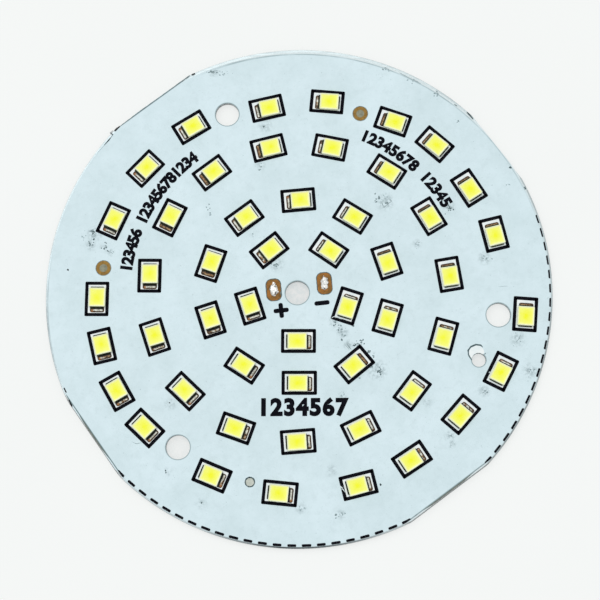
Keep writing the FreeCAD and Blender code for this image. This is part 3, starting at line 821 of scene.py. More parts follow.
# clusters of dark flecks: x, y, half width, half height, how many, and their tint
fleckClusters = (
    (-33.8, 10.1, 0.4, 0.8, 16, 1.0), (-34.4, 8.4, 0.25, 0.5, 8, 0.8), (-32.0, 7.8, 0.4, 0.5, 10, 0.9),
    (-34.5, 10.7, 0.5, 0.2, 5, 0.7), (-31.0, 7.1, 0.5, 0.25, 5, 0.4), (-35.5, 9.6, 0.3, 0.5, 4, 0.2),
    (5.9, -4.9, 0.15, 0.4, 6, 0.8), (6.9, -6.1, 0.5, 0.5, 14, 0.6), (7.6, -7.1, 0.3, 0.3, 5, 0.5),
    (7.0, -7.9, 0.12, 0.15, 3, 1.0), (8.9, -5.5, 0.25, 0.12, 4, 0.4), (9.2, -8.7, 0.35, 0.25, 8, 0.9),
    (10.2, -8.3, 0.6, 0.4, 12, 0.6), (13.5, 15.7, 0.3, 0.2, 7, 0.8), (12.8, 15.4, 0.15, 0.2, 4, 0.8),
    (12.8, 16.6, 0.15, 0.1, 3, 0.7), (14.3, 16.0, 0.4, 0.5, 7, 0.2), (14.6, 15.1, 0.25, 0.2, 4, 0.6),
    (-14.6, 37.9, 0.8, 0.2, 16, 0.8), (-12.6, 37.6, 1.0, 0.4, 9, 0.2), (11.5, -9.7, 0.3, 0.3, 8, 0.7),
    (12.2, -10.4, 0.12, 0.4, 6, 0.8), (11.8, -12.3, 0.4, 0.4, 10, 0.8), (13.1, -12.9, 0.25, 0.6, 12, 1.0),
    (9.9, -14.1, 0.15, 0.1, 2, 0.5), (35.0, 20.8, 0.12, 0.12, 3, 0.9), (37.3, 17.4, 0.1, 0.15, 3, 1.2),
    (34.7, 17.9, 0.3, 0.12, 3, 0.0), (-38.0, 4.1, 0.05, 0.05, 2, 2.0), (-20.9, -18.0, 0.05, 0.05, 2, 2.0),
    (-21.3, -29.1, 0.08, 0.18, 4, 1.2), (-5.5, 28.3, 0.25, 0.08, 4, 1.0), (13.2, -31.3, 0.05, 0.05, 2, 1.6),
    (30.5, 5.5, 0.6, 0.3, 7, 0.5), (35.6, -7.9, 0.6, 0.8, 7, 0.2), (37.4, -13.0, 0.5, 0.7, 10, 0.6),
    (24.5, -24.2, 0.5, 0.8, 9, 0.3), (6.8, -36.0, 0.7, 0.3, 8, 0.4), (-6.3, 21.6, 0.3, 0.6, 6, 0.5),
    (-3.5, 4.7, 0.8, 0.3, 12, 0.6), (29.9, -16.3, 0.5, 0.5, 8, 0.5), (19.5, 8.0, 0.4, 0.4, 6, 0.3),
    (0.4, -35.1, 0.5, 0.4, 6, 0.2), (24.9, 14.1, 0.45, 0.55, 16, 0.9), (26.5, 28.7, 0.3, 0.15, 3, 0.5),
    (-14.7, 14.3, 0.3, 0.7, 7, 0.5), (-15.6, -34.1, 0.1, 0.1, 2, 0.8), (16.4, -17.2, 0.3, 0.3, 5, 0.8),
    (7.2, -16.8, 0.3, 0.3, 5, 0.4), (-7.5, 9.7, 0.2, 0.5, 4, 0.3), (14.7, 38.0, 0.8, 0.25, 8, 0.3),
    (23.2, 33.6, 0.6, 0.4, 8, 0.3), (19.4, 35.9, 0.7, 0.3, 6, 0.3),
)
# thin lines on the mask: the points they pass, width and tint
hairLines = (
    ((
        (29.9, -9.2), (29.55, -8.85), (28.75, -8.75), (27.95, -9.1), (27.5, -9.7), (27.55, -10.4),
        (27.9, -11.05), (28.1, -11.3),
    ), 0.22, 1.0),
    (((30.1, -10.4), (30.25, -10.2), (30.4, -10.15)), 0.14, 0.5),
    (((7.85, -8.5), (8.65, -9.45)), 0.09, 0.7), (((7.6, -8.6), (8.2, -9.3)), 0.06, 0.4),
    (((13.8, 15.1), (13.95, 14.6), (14.1, 14.2), (15.4, 15.25), (15.15, 15.6)), 0.08, 0.7),
    (((-29.9, 28.6), (-26.4, 31.3), (-22.8, 33.95), (-18.2, 37.4)), 0.13, 0.75),
    (((-15.2, 37.8), (-13.5, 38.2)), 0.1, 0.6), (((17.0, 37.3), (18.8, 36.3), (20.5, 35.4)), 0.08, 0.3),
    (((-26.9, -24.3), (-26.1, -24.6), (-25.3, -24.4)), 0.08, 0.6), (((25.1, 13.6), (25.3, 14.2)), 0.07, 0.5),
    (((32.6, 0.8), (34.2, 0.85)), 0.07, 0.2), (((35.3, -8.3), (35.8, -7.8), (36.0, -7.2)), 0.07, 0.5),
    (((24.0, -23.3), (24.8, -23.7)), 0.08, 0.4),
)
# burrs and dirt along the board's edge, which stand on the bare rim
edgeLines = (
    (((-30.85, 27.85), (-30.4, 28.2), (-29.9, 28.65)), 0.26, 2.0),
    (((-18.0, 37.45), (-17.4, 37.72)), 0.26, 1.8),
    (((-31.3, 26.75), (-31.95, 25.95), (-32.5, 25.3)), 0.2, 1.3),
    (((-31.55, 27.5), (-31.05, 27.2), (-31.3, 26.75)), 0.12, 1.3),
    (((-32.5, 25.3), (-33.7, 23.9)), 0.08, 0.1),
    (((28.1, 30.4), (28.6, 29.85), (29.1, 29.1)), 0.18, 1.2),
    (((26.0, 31.75), (26.5, 31.4)), 0.12, 0.8),
)
# the mask's darker lip round what it leaves bare: gap, width and tint
padLip = (0.06, 0.13, 0.9)
targetLip = (0.03, 0.1, 0.55)
dotLip = (0.01, 0.2, 1.2)
# pale scuffs across the printed frames: package number, the points they pass and width
frameScuffs = (
    (46, ((-2.95, 0.7), (-2.65, 0.05), (-2.35, -0.6)), 0.16), (46, ((-2.9, -0.1), (-2.4, 0.35)), 0.08),
    (5, ((-2.75, 1.85), (-2.35, 1.55), (-2.3, 0.9), (-2.35, 0.2)), 0.12),
    (49, ((-1.05, 1.62), (-0.85, 1.5)), 0.2),
)


def tintedDirt():
    look = wornLook
    material, tree, shader, place = newMaterial("wornSpots", look)
    tint = addMath(tree, "ADD", addAttribute(tree, "tint"), addWobble(tree, place, look["uneven"], 0.2))
    tone = addMix(tree, addRange(tree, tint, 0, 1), look["faint"], look["dark"])
    tone = addMix(tree, addRange(tree, tint, 1.1, 1.9), tone, look["black"])
    paint(tree, shader, addMix(tree, addRange(tree, tint, -0.5, -0.8), tone, look["pale"]))
    return material


def flecks():
    shapes = []
    for x, y, halfWidth, halfHeight, count, tint in fleckClusters:
        for step in range(count):
            spot = disc(wearRng.uniform(*fleck["radius"]), fleck["sides"])
            for vert in spot.verts:
                vert.co.x *= wearRng.uniform(*fleck["long"])
                vert.co.y *= wearRng.uniform(*fleck["wide"])
            spotX = x + wearRng.gauss(0, halfWidth / 1.5)
            spotY = y + wearRng.gauss(0, halfHeight / 1.5)
            spot = placed(spot, spotAt(spotX, spotY, wearRng.uniform(0, 6.3)))
            high = levels["maskTop"] + wearRng.uniform(*fleck["rise"])
            thicken(spot, levels["maskTop"] - 0.002, high)
            shapes.append(setValue(spot, "tint", tint + wearRng.uniform(-0.3, 0.15)))
    return shapes


def ribbon(points, width, tint, top=levels["maskTop"], foot=levels["maskTop"]):
    # an uneven line that stands a hair above the surface, with thin ends
    line = flatPoints(points)
    fine = []
    for start, end in zip(line, line[1:]):
        steps = max(2, round((end - start).length / wearLine["step"]))
        fine += [start.lerp(end, step / steps) for step in range(steps)]
    fine.append(line[-1])
    shape = bmesh.new()
    pairs = []
    for step, middle in enumerate(fine):
        ahead = fine[min(step + 1, len(fine) - 1)] - fine[max(step - 1, 0)]
        side = Vector((-ahead.y, ahead.x, 0)).normalized()
        isEnd = step in (0, len(fine) - 1)
        half = width / 2 * (wearLine["ends"] if isEnd else wearRng.uniform(*wearLine["uneven"]))
        pairs.append([shape.verts.new(middle + side * half * sign) for sign in (-1, 1)])
    for (a, b), (c, d) in zip(pairs, pairs[1:]):
        shape.faces.new((a, c, d, b))
    thicken(shape, foot - 0.002, top + wearLine["rise"])
    return setValue(shape, "tint", tint)


def lipRound(shape, place, width, tint):
    points = [(point.x, point.y) for point in outlinePoints(shape, place)]
    return ribbon(points + points[:2], width, tint)


wornSpots = tintedDirt()
wear = flecks() + [ribbon(*line) for line in hairLines]
wear += [ribbon(*line, foot=levels["plateTop"]) for line in edgeLines]
for place in wirePadPlaces:
    wear.append(lipRound(wirePadShape(padLip[0]), place, *padLip[1:]))
for place in targetPlaces:
    wear.append(lipRound(disc(targets["radius"] + targetLip[0], 40), place, *targetLip[1:]))
wear.append(lipRound(disc(testDot["radius"] + dotLip[0], 32), testDotPlace, *dotLip[1:]))
makePiece("maskWear", gather(wear), "white_mask", wornSpots)

inkTop = levels["inkTop"]
scuffs = []
for number, points, width in frameScuffs:
    scuffs.append(placed(ribbon(points, width, -1, inkTop, inkTop), sites[number - 1]))
makePiece("frameScuffs", gather(scuffs), "black_ink", wornSpots)


# whiter ground: inside each frame, and where the mask flaked off above the small hole

bedLook = {
    "dark": srgb(228, 238, 241), "pale": srgb(245, 248, 248), "blotches": (1.2, 4), "spread": (0.35, 0.7),
    "grain": (0.5, 2), "bump": (0.1, 0.02), "roughness": 0.45,
}
bed = {"overlap": 0.05, "corner": 0.05, "rise": 0.004}
flake = {"sunk": 0.002, "rise": 0.003}
flakeOutline = (
    (29.75, -9.25), (29.4, -8.98), (28.75, -8.9), (28.05, -9.2), (27.68, -9.75), (27.7, -10.4),
    (28.0, -11.0), (28.15, -10.75), (28.45, -10.35), (28.9, -10.12), (29.4, -10.1), (29.9, -10.35),
    (30.1, -10.1), (30.0, -9.6),
)
bedWhite = twoToneMaterial("bedWhite", bedLook)
maskTop = levels["maskTop"]
flakeShape = flatSheet([flatPoints(flakeOutline)], maskTop - flake["sunk"], maskTop + flake["rise"])
makePiece("flakedPatch", flakeShape, "white_mask", bedWhite)

# a burr left at the corner where the board was snapped off
burrOutline = ((-30.8, 27.75), (-31.2, 27.95), (-31.62, 27.52), (-31.1, 27.1))
burr = {"foot": 0.25, "top": 0.02}  # how far both lie under the plate's top
burrHeights = (levels["plateTop"] - burr["foot"], levels["plateTop"] - burr["top"])
burrShape = flatSheet([flatPoints(burrOutline)], *burrHeights)
makePiece("edgeBurr", burrShape, "bare_aluminium", snappedEdge)
print("wear added")


def bedOutlines():
    smaller = bed["overlap"] - 2 * printed["line"]
    length, width = printed["frameLength"] + smaller, printed["frameWidth"] + smaller
    return [outlinePoints(plate(length, width, bed["corner"], 2), site) for site in sites]


bedShape = flatSheet(bedOutlines() + padOutlines(), maskTop, maskTop + bed["rise"])
makePiece("frameBeds", bedShape, "white_mask", bedWhite)


# white housings, each mounted a little turned

body = {"length": 3.12, "width": 2.72, "shift": -0.29, "corner": 0.1, "bevel": 0.06}
cup = {"length": 2.86, "width": 2.42, "floorLength": 2.5, "floorWidth": 1.8, "corner": 0.12}
localSpan = 4  # millimetres across the UV map of a housing and of its phosphor
housingLook = {
    "dark": srgb(236, 240, 202), "pale": srgb(248, 250, 222), "blotches": (0.9, 3), "spread": (0.3, 0.7),
    "rim": srgb(206, 212, 178), "rimStart": (0.04, 0.18),
    "grain": (0.3, 2), "bump": (0.08, 0.01), "roughness": 0.35,
}


def localPlace(tree):
    # x and y on the package, in millimetres
    return [
        addMath(tree, "MULTIPLY", addMath(tree, "SUBTRACT", share, 0.5), localSpan) for share in addUv(tree)
    ]


def mouldedWhite():
    look = housingLook
    material, tree, shader, place = newMaterial("whiteHousing", look)
    pastCup = [
        addMath(tree, "SUBTRACT", addMath(tree, "ABSOLUTE", side), half)
        for side, half in zip(localPlace(tree), (cup["length"] / 2, cup["width"] / 2))
    ]
    outermost = addRange(tree, addMath(tree, "MAXIMUM", *pastCup), *look["rimStart"], 0, 0.85)
    paint(tree, shader, addMix(tree, outermost, addTwoTone(tree, place, look), look["rim"]), place, look)
    return material


def housingShape():
    length, width = body["length"], body["width"]
    low, high = levels["bodyBottom"], levels["bodyTop"]
    shape = setHeight(plate(length, width, body["corner"], 2), low)
    raiseWalls(shape, (
        (1, 1, high - 0.05),
        (1 - body["bevel"] / length, 1 - body["bevel"] / width, high),
        ((cup["length"] + 0.05) / length, (cup["width"] + 0.05) / width, high),
        (cup["length"] / length, cup["width"] / width, high - 0.02),
        (cup["floorLength"] / length, cup["floorWidth"] / width, low + 0.02),
    ))
    return keepLocal(shape, localSpan, localSpan)


mounted = []
for site in sites:
    turn = math.radians(rng.uniform(-package["turn"], package["turn"]))
    mounted.append(packageShift @ site @ spotAt(0, 0, turn) @ spotAt(body["shift"], 0))
whiteHousing = mouldedWhite()
for number, place in enumerate(mounted, 1):
    shape = placed(housingShape(), place)
    makePiece(f"housing{number:02d}", shape, "white_housing", whiteHousing, housingName(number), smooth=40)


# yellow phosphor: strongest in the middle of the window, paler towards its walls

phosphorLook = {
    "middle": srgb(248, 250, 24), "wide": srgb(251, 253, 122), "clouds": (0.8, 4),
    "rim": srgb(251, 252, 190), "rimStart": (0.76, 1.0), "rimClouds": (0.6, 3), "past": 0.04,
    "grain": (0.35, 3), "bump": (0.08, 0.01), "roughness": 0.3, "specular": 0.35,
}
# foot above the housing's, top below the rim, and the share of the cup that the fill's foot covers; then its
# profile from there: shares of the cup's length and width, and how far below the top
fill = {
    "foot": 0.12, "top": 0.03, "narrow": 0.86,
    "profile": ((0.995, 0.995, 0.01), (0.95, 0.94, 0.035), (0.6, 0.6, 0.045), (0.25, 0.25, 0.048)),
}


def yellowPhosphor():
    look = phosphorLook
    material, tree, shader, place = newMaterial("phosphor", look)
    x, y = localPlace(tree)
    across = addMath(tree, "DIVIDE", x, cup["length"] / 2 + look["past"])
    along = addMath(tree, "DIVIDE", y, cup["width"] / 2 + look["past"])
    squares = [addMath(tree, "MULTIPLY", side, side) for side in (across, along)]
    fromMiddle = addMath(tree, "SQRT", addMath(tree, "ADD", *squares))
    fromMiddle = addMath(tree, "ADD", fromMiddle, addWobble(tree, place, look["clouds"], 0.16))
    stronger = addRange(tree, addAttribute(tree, "tint"), 0, 1, 0, 0.15)
    fromMiddle = addMath(tree, "SUBTRACT", fromMiddle, stronger)
    tone = addMix(tree, addRange(tree, fromMiddle, 0.0, 0.85), look["middle"], look["wide"])
    outward = addMath(tree, "MAXIMUM", addMath(tree, "ABSOLUTE", across), addMath(tree, "ABSOLUTE", along))
    outward = addMath(tree, "ADD", outward, addWobble(tree, place, look["rimClouds"], 0.05))
    tone = addMix(tree, addRange(tree, outward, *look["rimStart"]), tone, look["rim"])
    paint(tree, shader, tone, place, look)
    return material


def phosphorShape(tint):
    low, high = levels["bodyBottom"] + fill["foot"], levels["bodyTop"] - fill["top"]
    narrow = fill["narrow"]
    shape = setHeight(plate(cup["length"] * narrow, cup["width"] * narrow, cup["corner"], 2), low)
    raiseWalls(shape, [(x / narrow, y / narrow, high - drop) for x, y, drop in fill["profile"]])
    return setValue(keepLocal(shape, localSpan, localSpan), "tint", tint)


fills = gather([placed(phosphorShape(rng.random()), place) for place in mounted])
makePiece("phosphorFills", fills, "phosphor", yellowPhosphor(), "led_phosphor", smooth=40)


# bar of solder and bare copper at each wide lead

# the profile of a bar and of the tin: shares of the length and width, and the height over the foil
bars = {
    "start": 1.2, "end": 2.03, "length": 2.3, "corner": 0.3, "uneven": 0.05, "lumps": 0.03,
    "profile": ((0.98, 0.99, 0.03), (0.82, 0.93, 0.06), (0.5, 0.85, 0.08)),
}
barLook = {
    "dark": srgb(120, 78, 36), "pale": srgb(184, 154, 112), "blotches": (0.3, 4, 0.7), "spread": (0.42, 0.62),
    "soot": srgb(28, 22, 18), "sooty": (0.45, 3), "burnt": srgb(52, 31, 16), "shade": srgb(14, 14, 16),
    "tin": srgb(230, 230, 218), "tinShade": srgb(150, 149, 136), "torn": (0.5, 3), "innerEdge": 0.16,
    "ember": srgb(158, 104, 58), "bump": (0.3, 0.02), "roughness": 0.45, "metallic": 0.2, "specular": 0.35,
}
# packages whose bar is white tin in a brown outline, and those whose bar is bare brown; the rest is mixed
tinnedBars = (1, 3, 4, 5, 7, 8, 9, 12, 13, 23, 25, 27, 28, 29, 36, 37, 38, 39, 40, 43, 45, 46, 49)
bareBars = (6, 10, 14, 16, 17, 18, 20, 21, 22, 31, 32, 33, 34, 50)
# packages whose bar is dark beside the housing
shadedBars = (3, 11, 12, 23, 24, 25, 38, 39, 40, 41, 42, 43, 44, 45)
# packages whose bar is orange-brown at the lower end, or at the upper one
lowEmbers = (3, 8, 12, 23, 25, 37, 38, 39, 40, 41, 42, 43, 44, 45)
topEmbers = (2, 47, 49)


def solderAndCopper():
    look = barLook
    material, tree, shader, place = newMaterial("solderBar", look)
    u, v = addUv(tree)
    soot = addRange(tree, addNoise(tree, place, *look["sooty"]), 0.54, 0.62, 0, 0.85)
    tone = addMix(tree, soot, addTwoTone(tree, place, look), look["soot"])
    # distance from the bar's outline, in millimetres
    inner = addMath(tree, "SUBTRACT", u, look["innerEdge"])
    across = addMath(tree, "MINIMUM", inner, addMath(tree, "SUBTRACT", 1, u))
    fromSide = addMath(tree, "MULTIPLY", across, bars["end"] - bars["start"])
    along = addMath(tree, "MINIMUM", v, addMath(tree, "SUBTRACT", 1, v))
    fromEnd = addMath(tree, "MULTIPLY", along, bars["length"])
    fromEdge = addMath(tree, "MINIMUM", fromSide, fromEnd)
    fromEdge = addMath(tree, "ADD", fromEdge, addWobble(tree, place, look["torn"], 0.05))
    # tin lies inside the outline, clear of the lower end
    grain = addNoise(tree, place, *look["blotches"])
    tin = addMix(tree, addRange(tree, grain, 0.38, 0.55), look["tinShade"], look["tin"])
    tinned = addMath(tree, "ADD", addAttribute(tree, "tinned"), addWobble(tree, place, look["torn"], 0.5))
    tinHere = addMath(
        tree, "MULTIPLY", addRange(tree, fromEdge, 0.13, 0.19), addRange(tree, tinned, 0.4, 0.6),
        addRange(tree, v, 0.14, 0.22),
    )
    tone = addMix(tree, tinHere, tone, tin)
    outline = addMix(tree, addRange(tree, u, 0.35, 0.7), look["soot"], look["burnt"])
    tone = addMix(tree, addRange(tree, fromEdge, 0.26, 0.16, 0, 0.97), tone, outline)
    shaded = addMath(tree, "MULTIPLY", addRange(tree, u, 0.5, 0.36), addAttribute(tree, "shaded"))
    tone = addMix(tree, shaded, tone, look["shade"])
    for name, low, high in (("lowEmber", 0.04, 0.26), ("topEmber", 0.96, 0.76)):
        ember = addMath(
            tree, "MULTIPLY", addRange(tree, u, 0.38, 0.5), addRange(tree, u, 0.96, 0.88),
            addRange(tree, v, low, (low * 2 + high) / 3), addRange(tree, v, high, (low + high * 2) / 3),
            addAttribute(tree, name),
        )
        tone = addMix(tree, ember, tone, look["ember"])
    paint(tree, shader, tone)
    addBump(tree, shader, grain, *look["bump"])
    return material


def barShape(number):
    width = bars["end"] - bars["start"]
    foilTop = levels["foilTop"]
    shape = plate(width, bars["length"], bars["corner"], 4)
    bmesh.ops.subdivide_edges(shape, edges=[edge for edge in shape.edges if edge.calc_length() > 1], cuts=7)
    setHeight(shape, foilTop + 0.002)
    raiseWalls(shape, [(x, y, foilTop + rise) for x, y, rise in bars["profile"]])
    keepLocal(shape, width, bars["length"])
    setValue(shape, "tinned", 1.0 if number in tinnedBars else -0.4 if number in bareBars else 0.5)
    setValue(shape, "shaded", 1.0 if number in shadedBars else 0.0)
    setValue(shape, "lowEmber", 0.75 if number in lowEmbers else 0.0)
    setValue(shape, "topEmber", 0.6 if number in topEmbers else 0.0)
    for vert in shape.verts:
        push = noise.noise_vector(Vector((vert.co.x * 3, vert.co.y * 2.2, number * 7.3)))
        vert.co.x += bars["uneven"] * push.x
        vert.co.y += bars["uneven"] * push.y
        if vert.co.z > foilTop + 0.02:
            vert.co.z += bars["lumps"] * push.z
        vert.co.x += (bars["start"] + bars["end"]) / 2
    return shape


barShapes = gather([placed(barShape(number), windowShift @ site) for number, site in enumerate(sites, 1)])
makePiece("solderBars", barShapes, "solder", solderAndCopper(), "solder_joints", smooth=60)


# the ends of both leads, real metal coloured dark as painted shade beside the housing

# the leads' dark colour is painted shade for the shadow at the housing's ends
leadShadeLook = {
    "dark": srgb(20, 27, 16), "pale": srgb(64, 72, 46), "blotches": (0.4, 3), "spread": (0.35, 0.7),
    "grain": (0.2, 2), "bump": (0.15, 0.01), "roughness": 0.6, "metallic": 0.3, "specular": 0.2,
}
leadEnds = (
    {"start": -1.75, "end": -1.55, "length": 2.15, "height": 0.16, "corner": 0.05, "uneven": 0.12},
    {"start": 1.55, "end": 1.68, "length": 2.2, "height": 0.42, "corner": 0.05, "uneven": 0.12},
)
shadedLeadMetal = twoToneMaterial("shadedLeadMetal", leadShadeLook)
ends = []
for place in mounted:
    for lead in leadEnds:
        length = lead["length"] + rng.uniform(-lead["uneven"], lead["uneven"])
        low, high = levels["foilTop"] + 0.002, levels["foilTop"] + lead["height"]
        end = bar(lead["end"] - lead["start"], length, lead["corner"], low, high)
        ends.append(placed(end, place @ spotAt((lead["start"] + lead["end"]) / 2, 0)))
makePiece("leadEnds", gather(ends), "lead_metal", shadedLeadMetal)


# ragged tin on the wire pads

tinLook = {
    "dark": srgb(150, 150, 148), "pale": srgb(240, 240, 238),
    "blotches": (0.45, 4, 0.65), "spread": (0.35, 0.55),
    "burnt": srgb(70, 44, 28), "burns": (0.3, 3), "grain": (0.45, 4, 0.65), "bump": (0.4, 0.04),
    "roughness": 0.3, "metallic": 0.6,
}
wireTin = {
    "length": 2.3, "width": 1.3, "ragged": 0.36, "lumps": 0.06, "seeds": (3.1, 8.4),
    "profile": ((0.96, 0.97, 0.05), (0.78, 0.82, 0.13), (0.5, 0.55, 0.2), (0.2, 0.25, 0.22)),
}


def raggedTin():
    look = tinLook
    material, tree, shader, place = newMaterial("tinning", look)
    burnt = addRange(tree, addNoise(tree, place, *look["burns"]), 0.57, 0.66)
    paint(tree, shader, addMix(tree, burnt, addTwoTone(tree, place, look), look["burnt"]), place, look)
    return material


def tinShape(seed):
    foilTop = levels["foilTop"]
    shape = disc(0.5, 40)
    bmesh.ops.scale(shape, vec=(wireTin["width"], wireTin["length"], 1), verts=shape.verts)
    setHeight(shape, foilTop + 0.002)
    raiseWalls(shape, [(x, y, foilTop + rise) for x, y, rise in wireTin["profile"]])
    for vert in shape.verts:
        push = noise.noise_vector(Vector((vert.co.x * 2.2, vert.co.y * 2.2, seed)))
        vert.co.x += wireTin["ragged"] * push.x
        vert.co.y += wireTin["ragged"] * push.y
        if vert.co.z > foilTop + 0.04:
            vert.co.z += wireTin["lumps"] * push.z
    return shape


tinShapes = gather([placed(tinShape(seed), place) for seed, place in zip(wireTin["seeds"], wirePadPlaces)])
makePiece("wireTinning", tinShapes, "solder", raggedTin(), "wire_pad_solder", smooth=60)


# bare copper: target rings here, and the foil that shows at the wire pads, browner than the rest

copperLook = {
    "dark": srgb(112, 82, 28), "pale": srgb(142, 110, 46), "blotches": (0.7, 4, 0.6), "spread": (0.3, 0.7),
    "tarnish": srgb(54, 38, 14), "spots": (0.25, 4, 0.7),
    "umber": srgb(98, 60, 14), "orange": srgb(146, 88, 30), "padClouds": (0.9, 4, 0.6), "padReach": (9, 8),
    "grain": (0.2, 3), "bump": (0.25, 0.01), "roughness": 0.45, "metallic": 0.55,
}
eyeLook = {
    "dark": srgb(112, 114, 96), "pale": srgb(150, 148, 124), "blotches": (0.5, 4), "spread": (0.3, 0.7),
    "grain": (0.25, 2), "bump": (0.2, 0.01), "roughness": 0.55,
}
dotLook = {**eyeLook, "dark": srgb(178, 184, 174), "pale": srgb(208, 212, 203)}
targetRing = {"outer": 1.28, "inner": 0.66, "sunk": 0.01, "rise": 0.004, "eyeRadius": 0.7, "eyeSunk": 0.005}
bareDot = {"radius": 0.8, "rise": 0.02}


def tarnishedCopper():
    look = copperLook
    material, tree, shader, place = newMaterial("copper", look)
    clouds = addRange(tree, addNoise(tree, place, *look["padClouds"]), 0.42, 0.6)
    padTone = addMix(tree, clouds, look["umber"], look["orange"])
    fromMiddle = addVector(tree, "LENGTH", place, (0, 0, 0))
    nearPads = addSpan(tree, fromMiddle, *look["padReach"], 0, 0.65)
    tone = addMix(tree, nearPads, addTwoTone(tree, place, look), padTone)
    spotty = addRange(tree, addNoise(tree, place, *look["spots"]), 0.55, 0.75, 0, 0.8)
    paint(tree, shader, addMix(tree, spotty, tone, look["tarnish"]), place, look)
    tree.links.new(addRange(tree, spotty, 0, 0.8, 0.38, 0.6), shader.inputs["Roughness"])
    return material


copper = tarnishedCopper()
foilTop = levels["foilTop"]
rings, eyes = [], []
for place in targetPlaces:
    outer = outlinePoints(disc(targetRing["outer"], 40), place)
    inner = outlinePoints(disc(targetRing["inner"], 32), place)
    rings.append(flatSheet([outer, inner], foilTop - targetRing["sunk"], foilTop + targetRing["rise"]))
    eye = thicken(disc(targetRing["eyeRadius"], 32), levels["foilBottom"], foilTop - targetRing["eyeSunk"])
    eyes.append(placed(eye, place))
makePiece("targetRings", gather(rings), "copper", copper)
makePiece("targetEyes", gather(eyes), "dielectric", twoToneMaterial("eyeGround", eyeLook))
dot = thicken(disc(bareDot["radius"], 32), levels["foilBottom"], levels["foilBottom"] + bareDot["rise"])
makePiece("testDot", placed(dot, testDotPlace), "dielectric", twoToneMaterial("bareGround", dotLook))
print("packages and pads made")


# CAD pieces that stay

dielectricLook = {
    "dark": srgb(88, 96, 92), "pale": srgb(132, 136, 126), "blotches": (0.8, 4), "spread": (0.3, 0.7),
    # the rim's second tone is the same rim in painted shade, used at the left of the board
    "rim": srgb(220, 231, 234), "rimShadedLeft": srgb(214, 230, 236), "grain": (0.3, 2), "bump": (0.2, 0.01),
    "roughness": 0.6,
}
dieLook = {
    "dark": srgb(105, 135, 180), "pale": srgb(150, 175, 205), "blotches": (0.3, 2), "spread": (0.3, 0.7),
    "roughness": 0.2,
}


def filledEpoxy():
    look = dielectricLook
    material, tree, shader, place = newMaterial("dielectric", look)
    # the rim gets a painted shade line at its edge and a painted shaded tone at the left
    tone = rimToneWithPaintedShade(tree, place, addTwoTone(tree, place, look), look["rim"], look["rimShadedLeft"])
    paint(tree, shader, tone, place, look)
    return material


def blueDie():
    material, tree, shader, place = newMaterial("ledDie", dieLook)
    paint(tree, shader, addTwoTone(tree, place, dieLook))
    return material


stayingLooks = {
    # the CAD leads take the same dark colour of painted shade
    "dielectric_layer": filledEpoxy(), "copper_foil": copper, "led_leads": shadedLeadMetal, "led_chips": blueDie(),
}
for name, material in stayingLooks.items():
    for slot in nodes[name].material_slots:
        slot.material = material


# floor: what lies under the holes is painted a little darker than the rest, as shade, with marbled marks

floorLook = {
    "dark": srgb(244, 246, 245), "pale": srgb(247, 249, 248), "clouds": (60, 2), "glow": 0.74,
    "underDark": srgb(214, 221, 222), "underPale": srgb(229, 230, 229), "marbling": (0.9, 4, 0.7),
    "under": (0.85, 0.35, 0, 0.35, 0.05), "roughness": 0.9, "specular": 0.1,
}
ground = {"halfSize": 2, "drop": 0.00003}


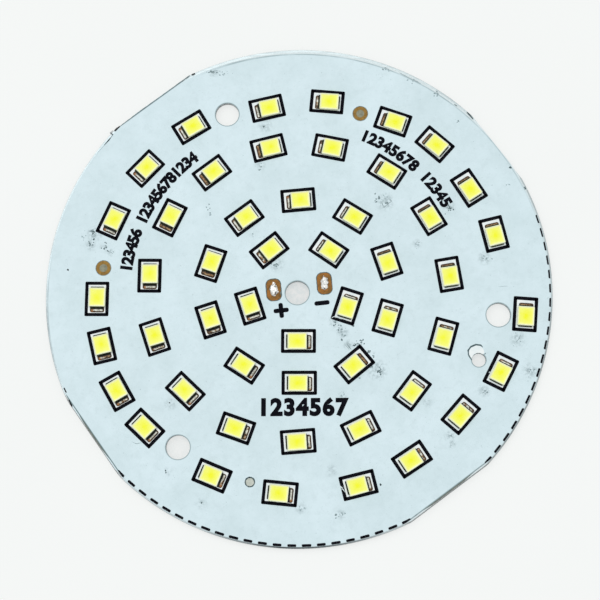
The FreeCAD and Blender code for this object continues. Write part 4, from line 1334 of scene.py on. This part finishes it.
def paleFloor():
    look = floorLook
    material, tree, shader, place = newMaterial("floorPaint", look)
    tone = addMix(tree, addNoise(tree, place, *look["clouds"]), look["dark"], look["pale"])
    marbled = addRange(tree, addNoise(tree, place, *look["marbling"]), 0.4, 0.6)
    under = addMix(tree, marbled, look["underDark"], look["underPale"])
    # painted shade under each hole, with marbled marks
    for (x, y, radius), strength in zip(holes, look["under"]):
        inside = addSpan(tree, distanceFrom(tree, place, x, y), radius + 0.4, radius - 0.1, 0, strength)
        tone = addMix(tree, inside, tone, under)
    # the camera sees most of the colour as a glow, and the rest as lit paint that holds the shadow
    direct = tree.nodes.new("ShaderNodeLightPath").outputs["Is Camera Ray"]
    dimmed = addMix(tree, look["glow"], tone, (0, 0, 0, 1))
    paint(tree, shader, addMix(tree, direct, tone, dimmed))
    tree.links.new(tone, shader.inputs["Emission Color"])
    tree.links.new(addRange(tree, direct, 0, 1, 0, look["glow"]), shader.inputs["Emission Strength"])
    return material


floorShape = bmesh.new()
bmesh.ops.create_grid(floorShape, x_segments=1, y_segments=1, size=ground["halfSize"])
floorMesh = bpy.data.meshes.new("floor")
setHeight(floorShape, -ground["drop"]).to_mesh(floorMesh)
floorShape.free()
floor = bpy.data.objects.new("floor", floorMesh)
floorMesh.materials.append(paleFloor())
scene.collection.objects.link(floor)
print("floor laid")


# light and camera

lightPlan = {
    "sky": 0.8, "skyColor": srgb(245, 247, 246), "sun": 0.86, "sunTurn": (-26, -20, 0), "sunAngle": 60,
}
# place in millimetres, turn in degrees
cameraPlan = {
    "place": (10.43, -48.49, 261.04), "turn": (10.643, 2.288, 0), "lens": 97.13,
    "shiftX": 0.0025, "shiftY": -0.0163,
}
world = bpy.data.worlds.new("studio")
world.use_nodes = True
scene.world = world
tree = world.node_tree
background = tree.nodes["Background"]
background.inputs["Color"].default_value = lightPlan["skyColor"]
rays = tree.nodes.new("ShaderNodeLightPath").outputs
seen = addMath(tree, "MAXIMUM", rays["Is Camera Ray"], rays["Is Transmission Ray"], rays["Is Glossy Ray"])
tree.links.new(addRange(tree, seen, 0, 1, lightPlan["sky"], 1.0), background.inputs["Strength"])

sunLight = bpy.data.lights.new("softSun", "SUN")
sunLight.energy = lightPlan["sun"]
sunLight.angle = math.radians(lightPlan["sunAngle"])
sun = bpy.data.objects.new("softSun", sunLight)
sun.rotation_euler = [math.radians(turn) for turn in lightPlan["sunTurn"]]
scene.collection.objects.link(sun)

lens = bpy.data.cameras.new("camera")
lens.lens = cameraPlan["lens"]
lens.sensor_width = 36
lens.shift_x = cameraPlan["shiftX"]
lens.shift_y = cameraPlan["shiftY"]
lens.clip_start = 0.01
camera = bpy.data.objects.new("camera", lens)
camera.location = [share / 1000 for share in cameraPlan["place"]]
camera.rotation_euler = [math.radians(turn) for turn in cameraPlan["turn"]]
scene.collection.objects.link(camera)
scene.camera = camera
scene.view_settings.view_transform = "Standard"

print("scene ready")
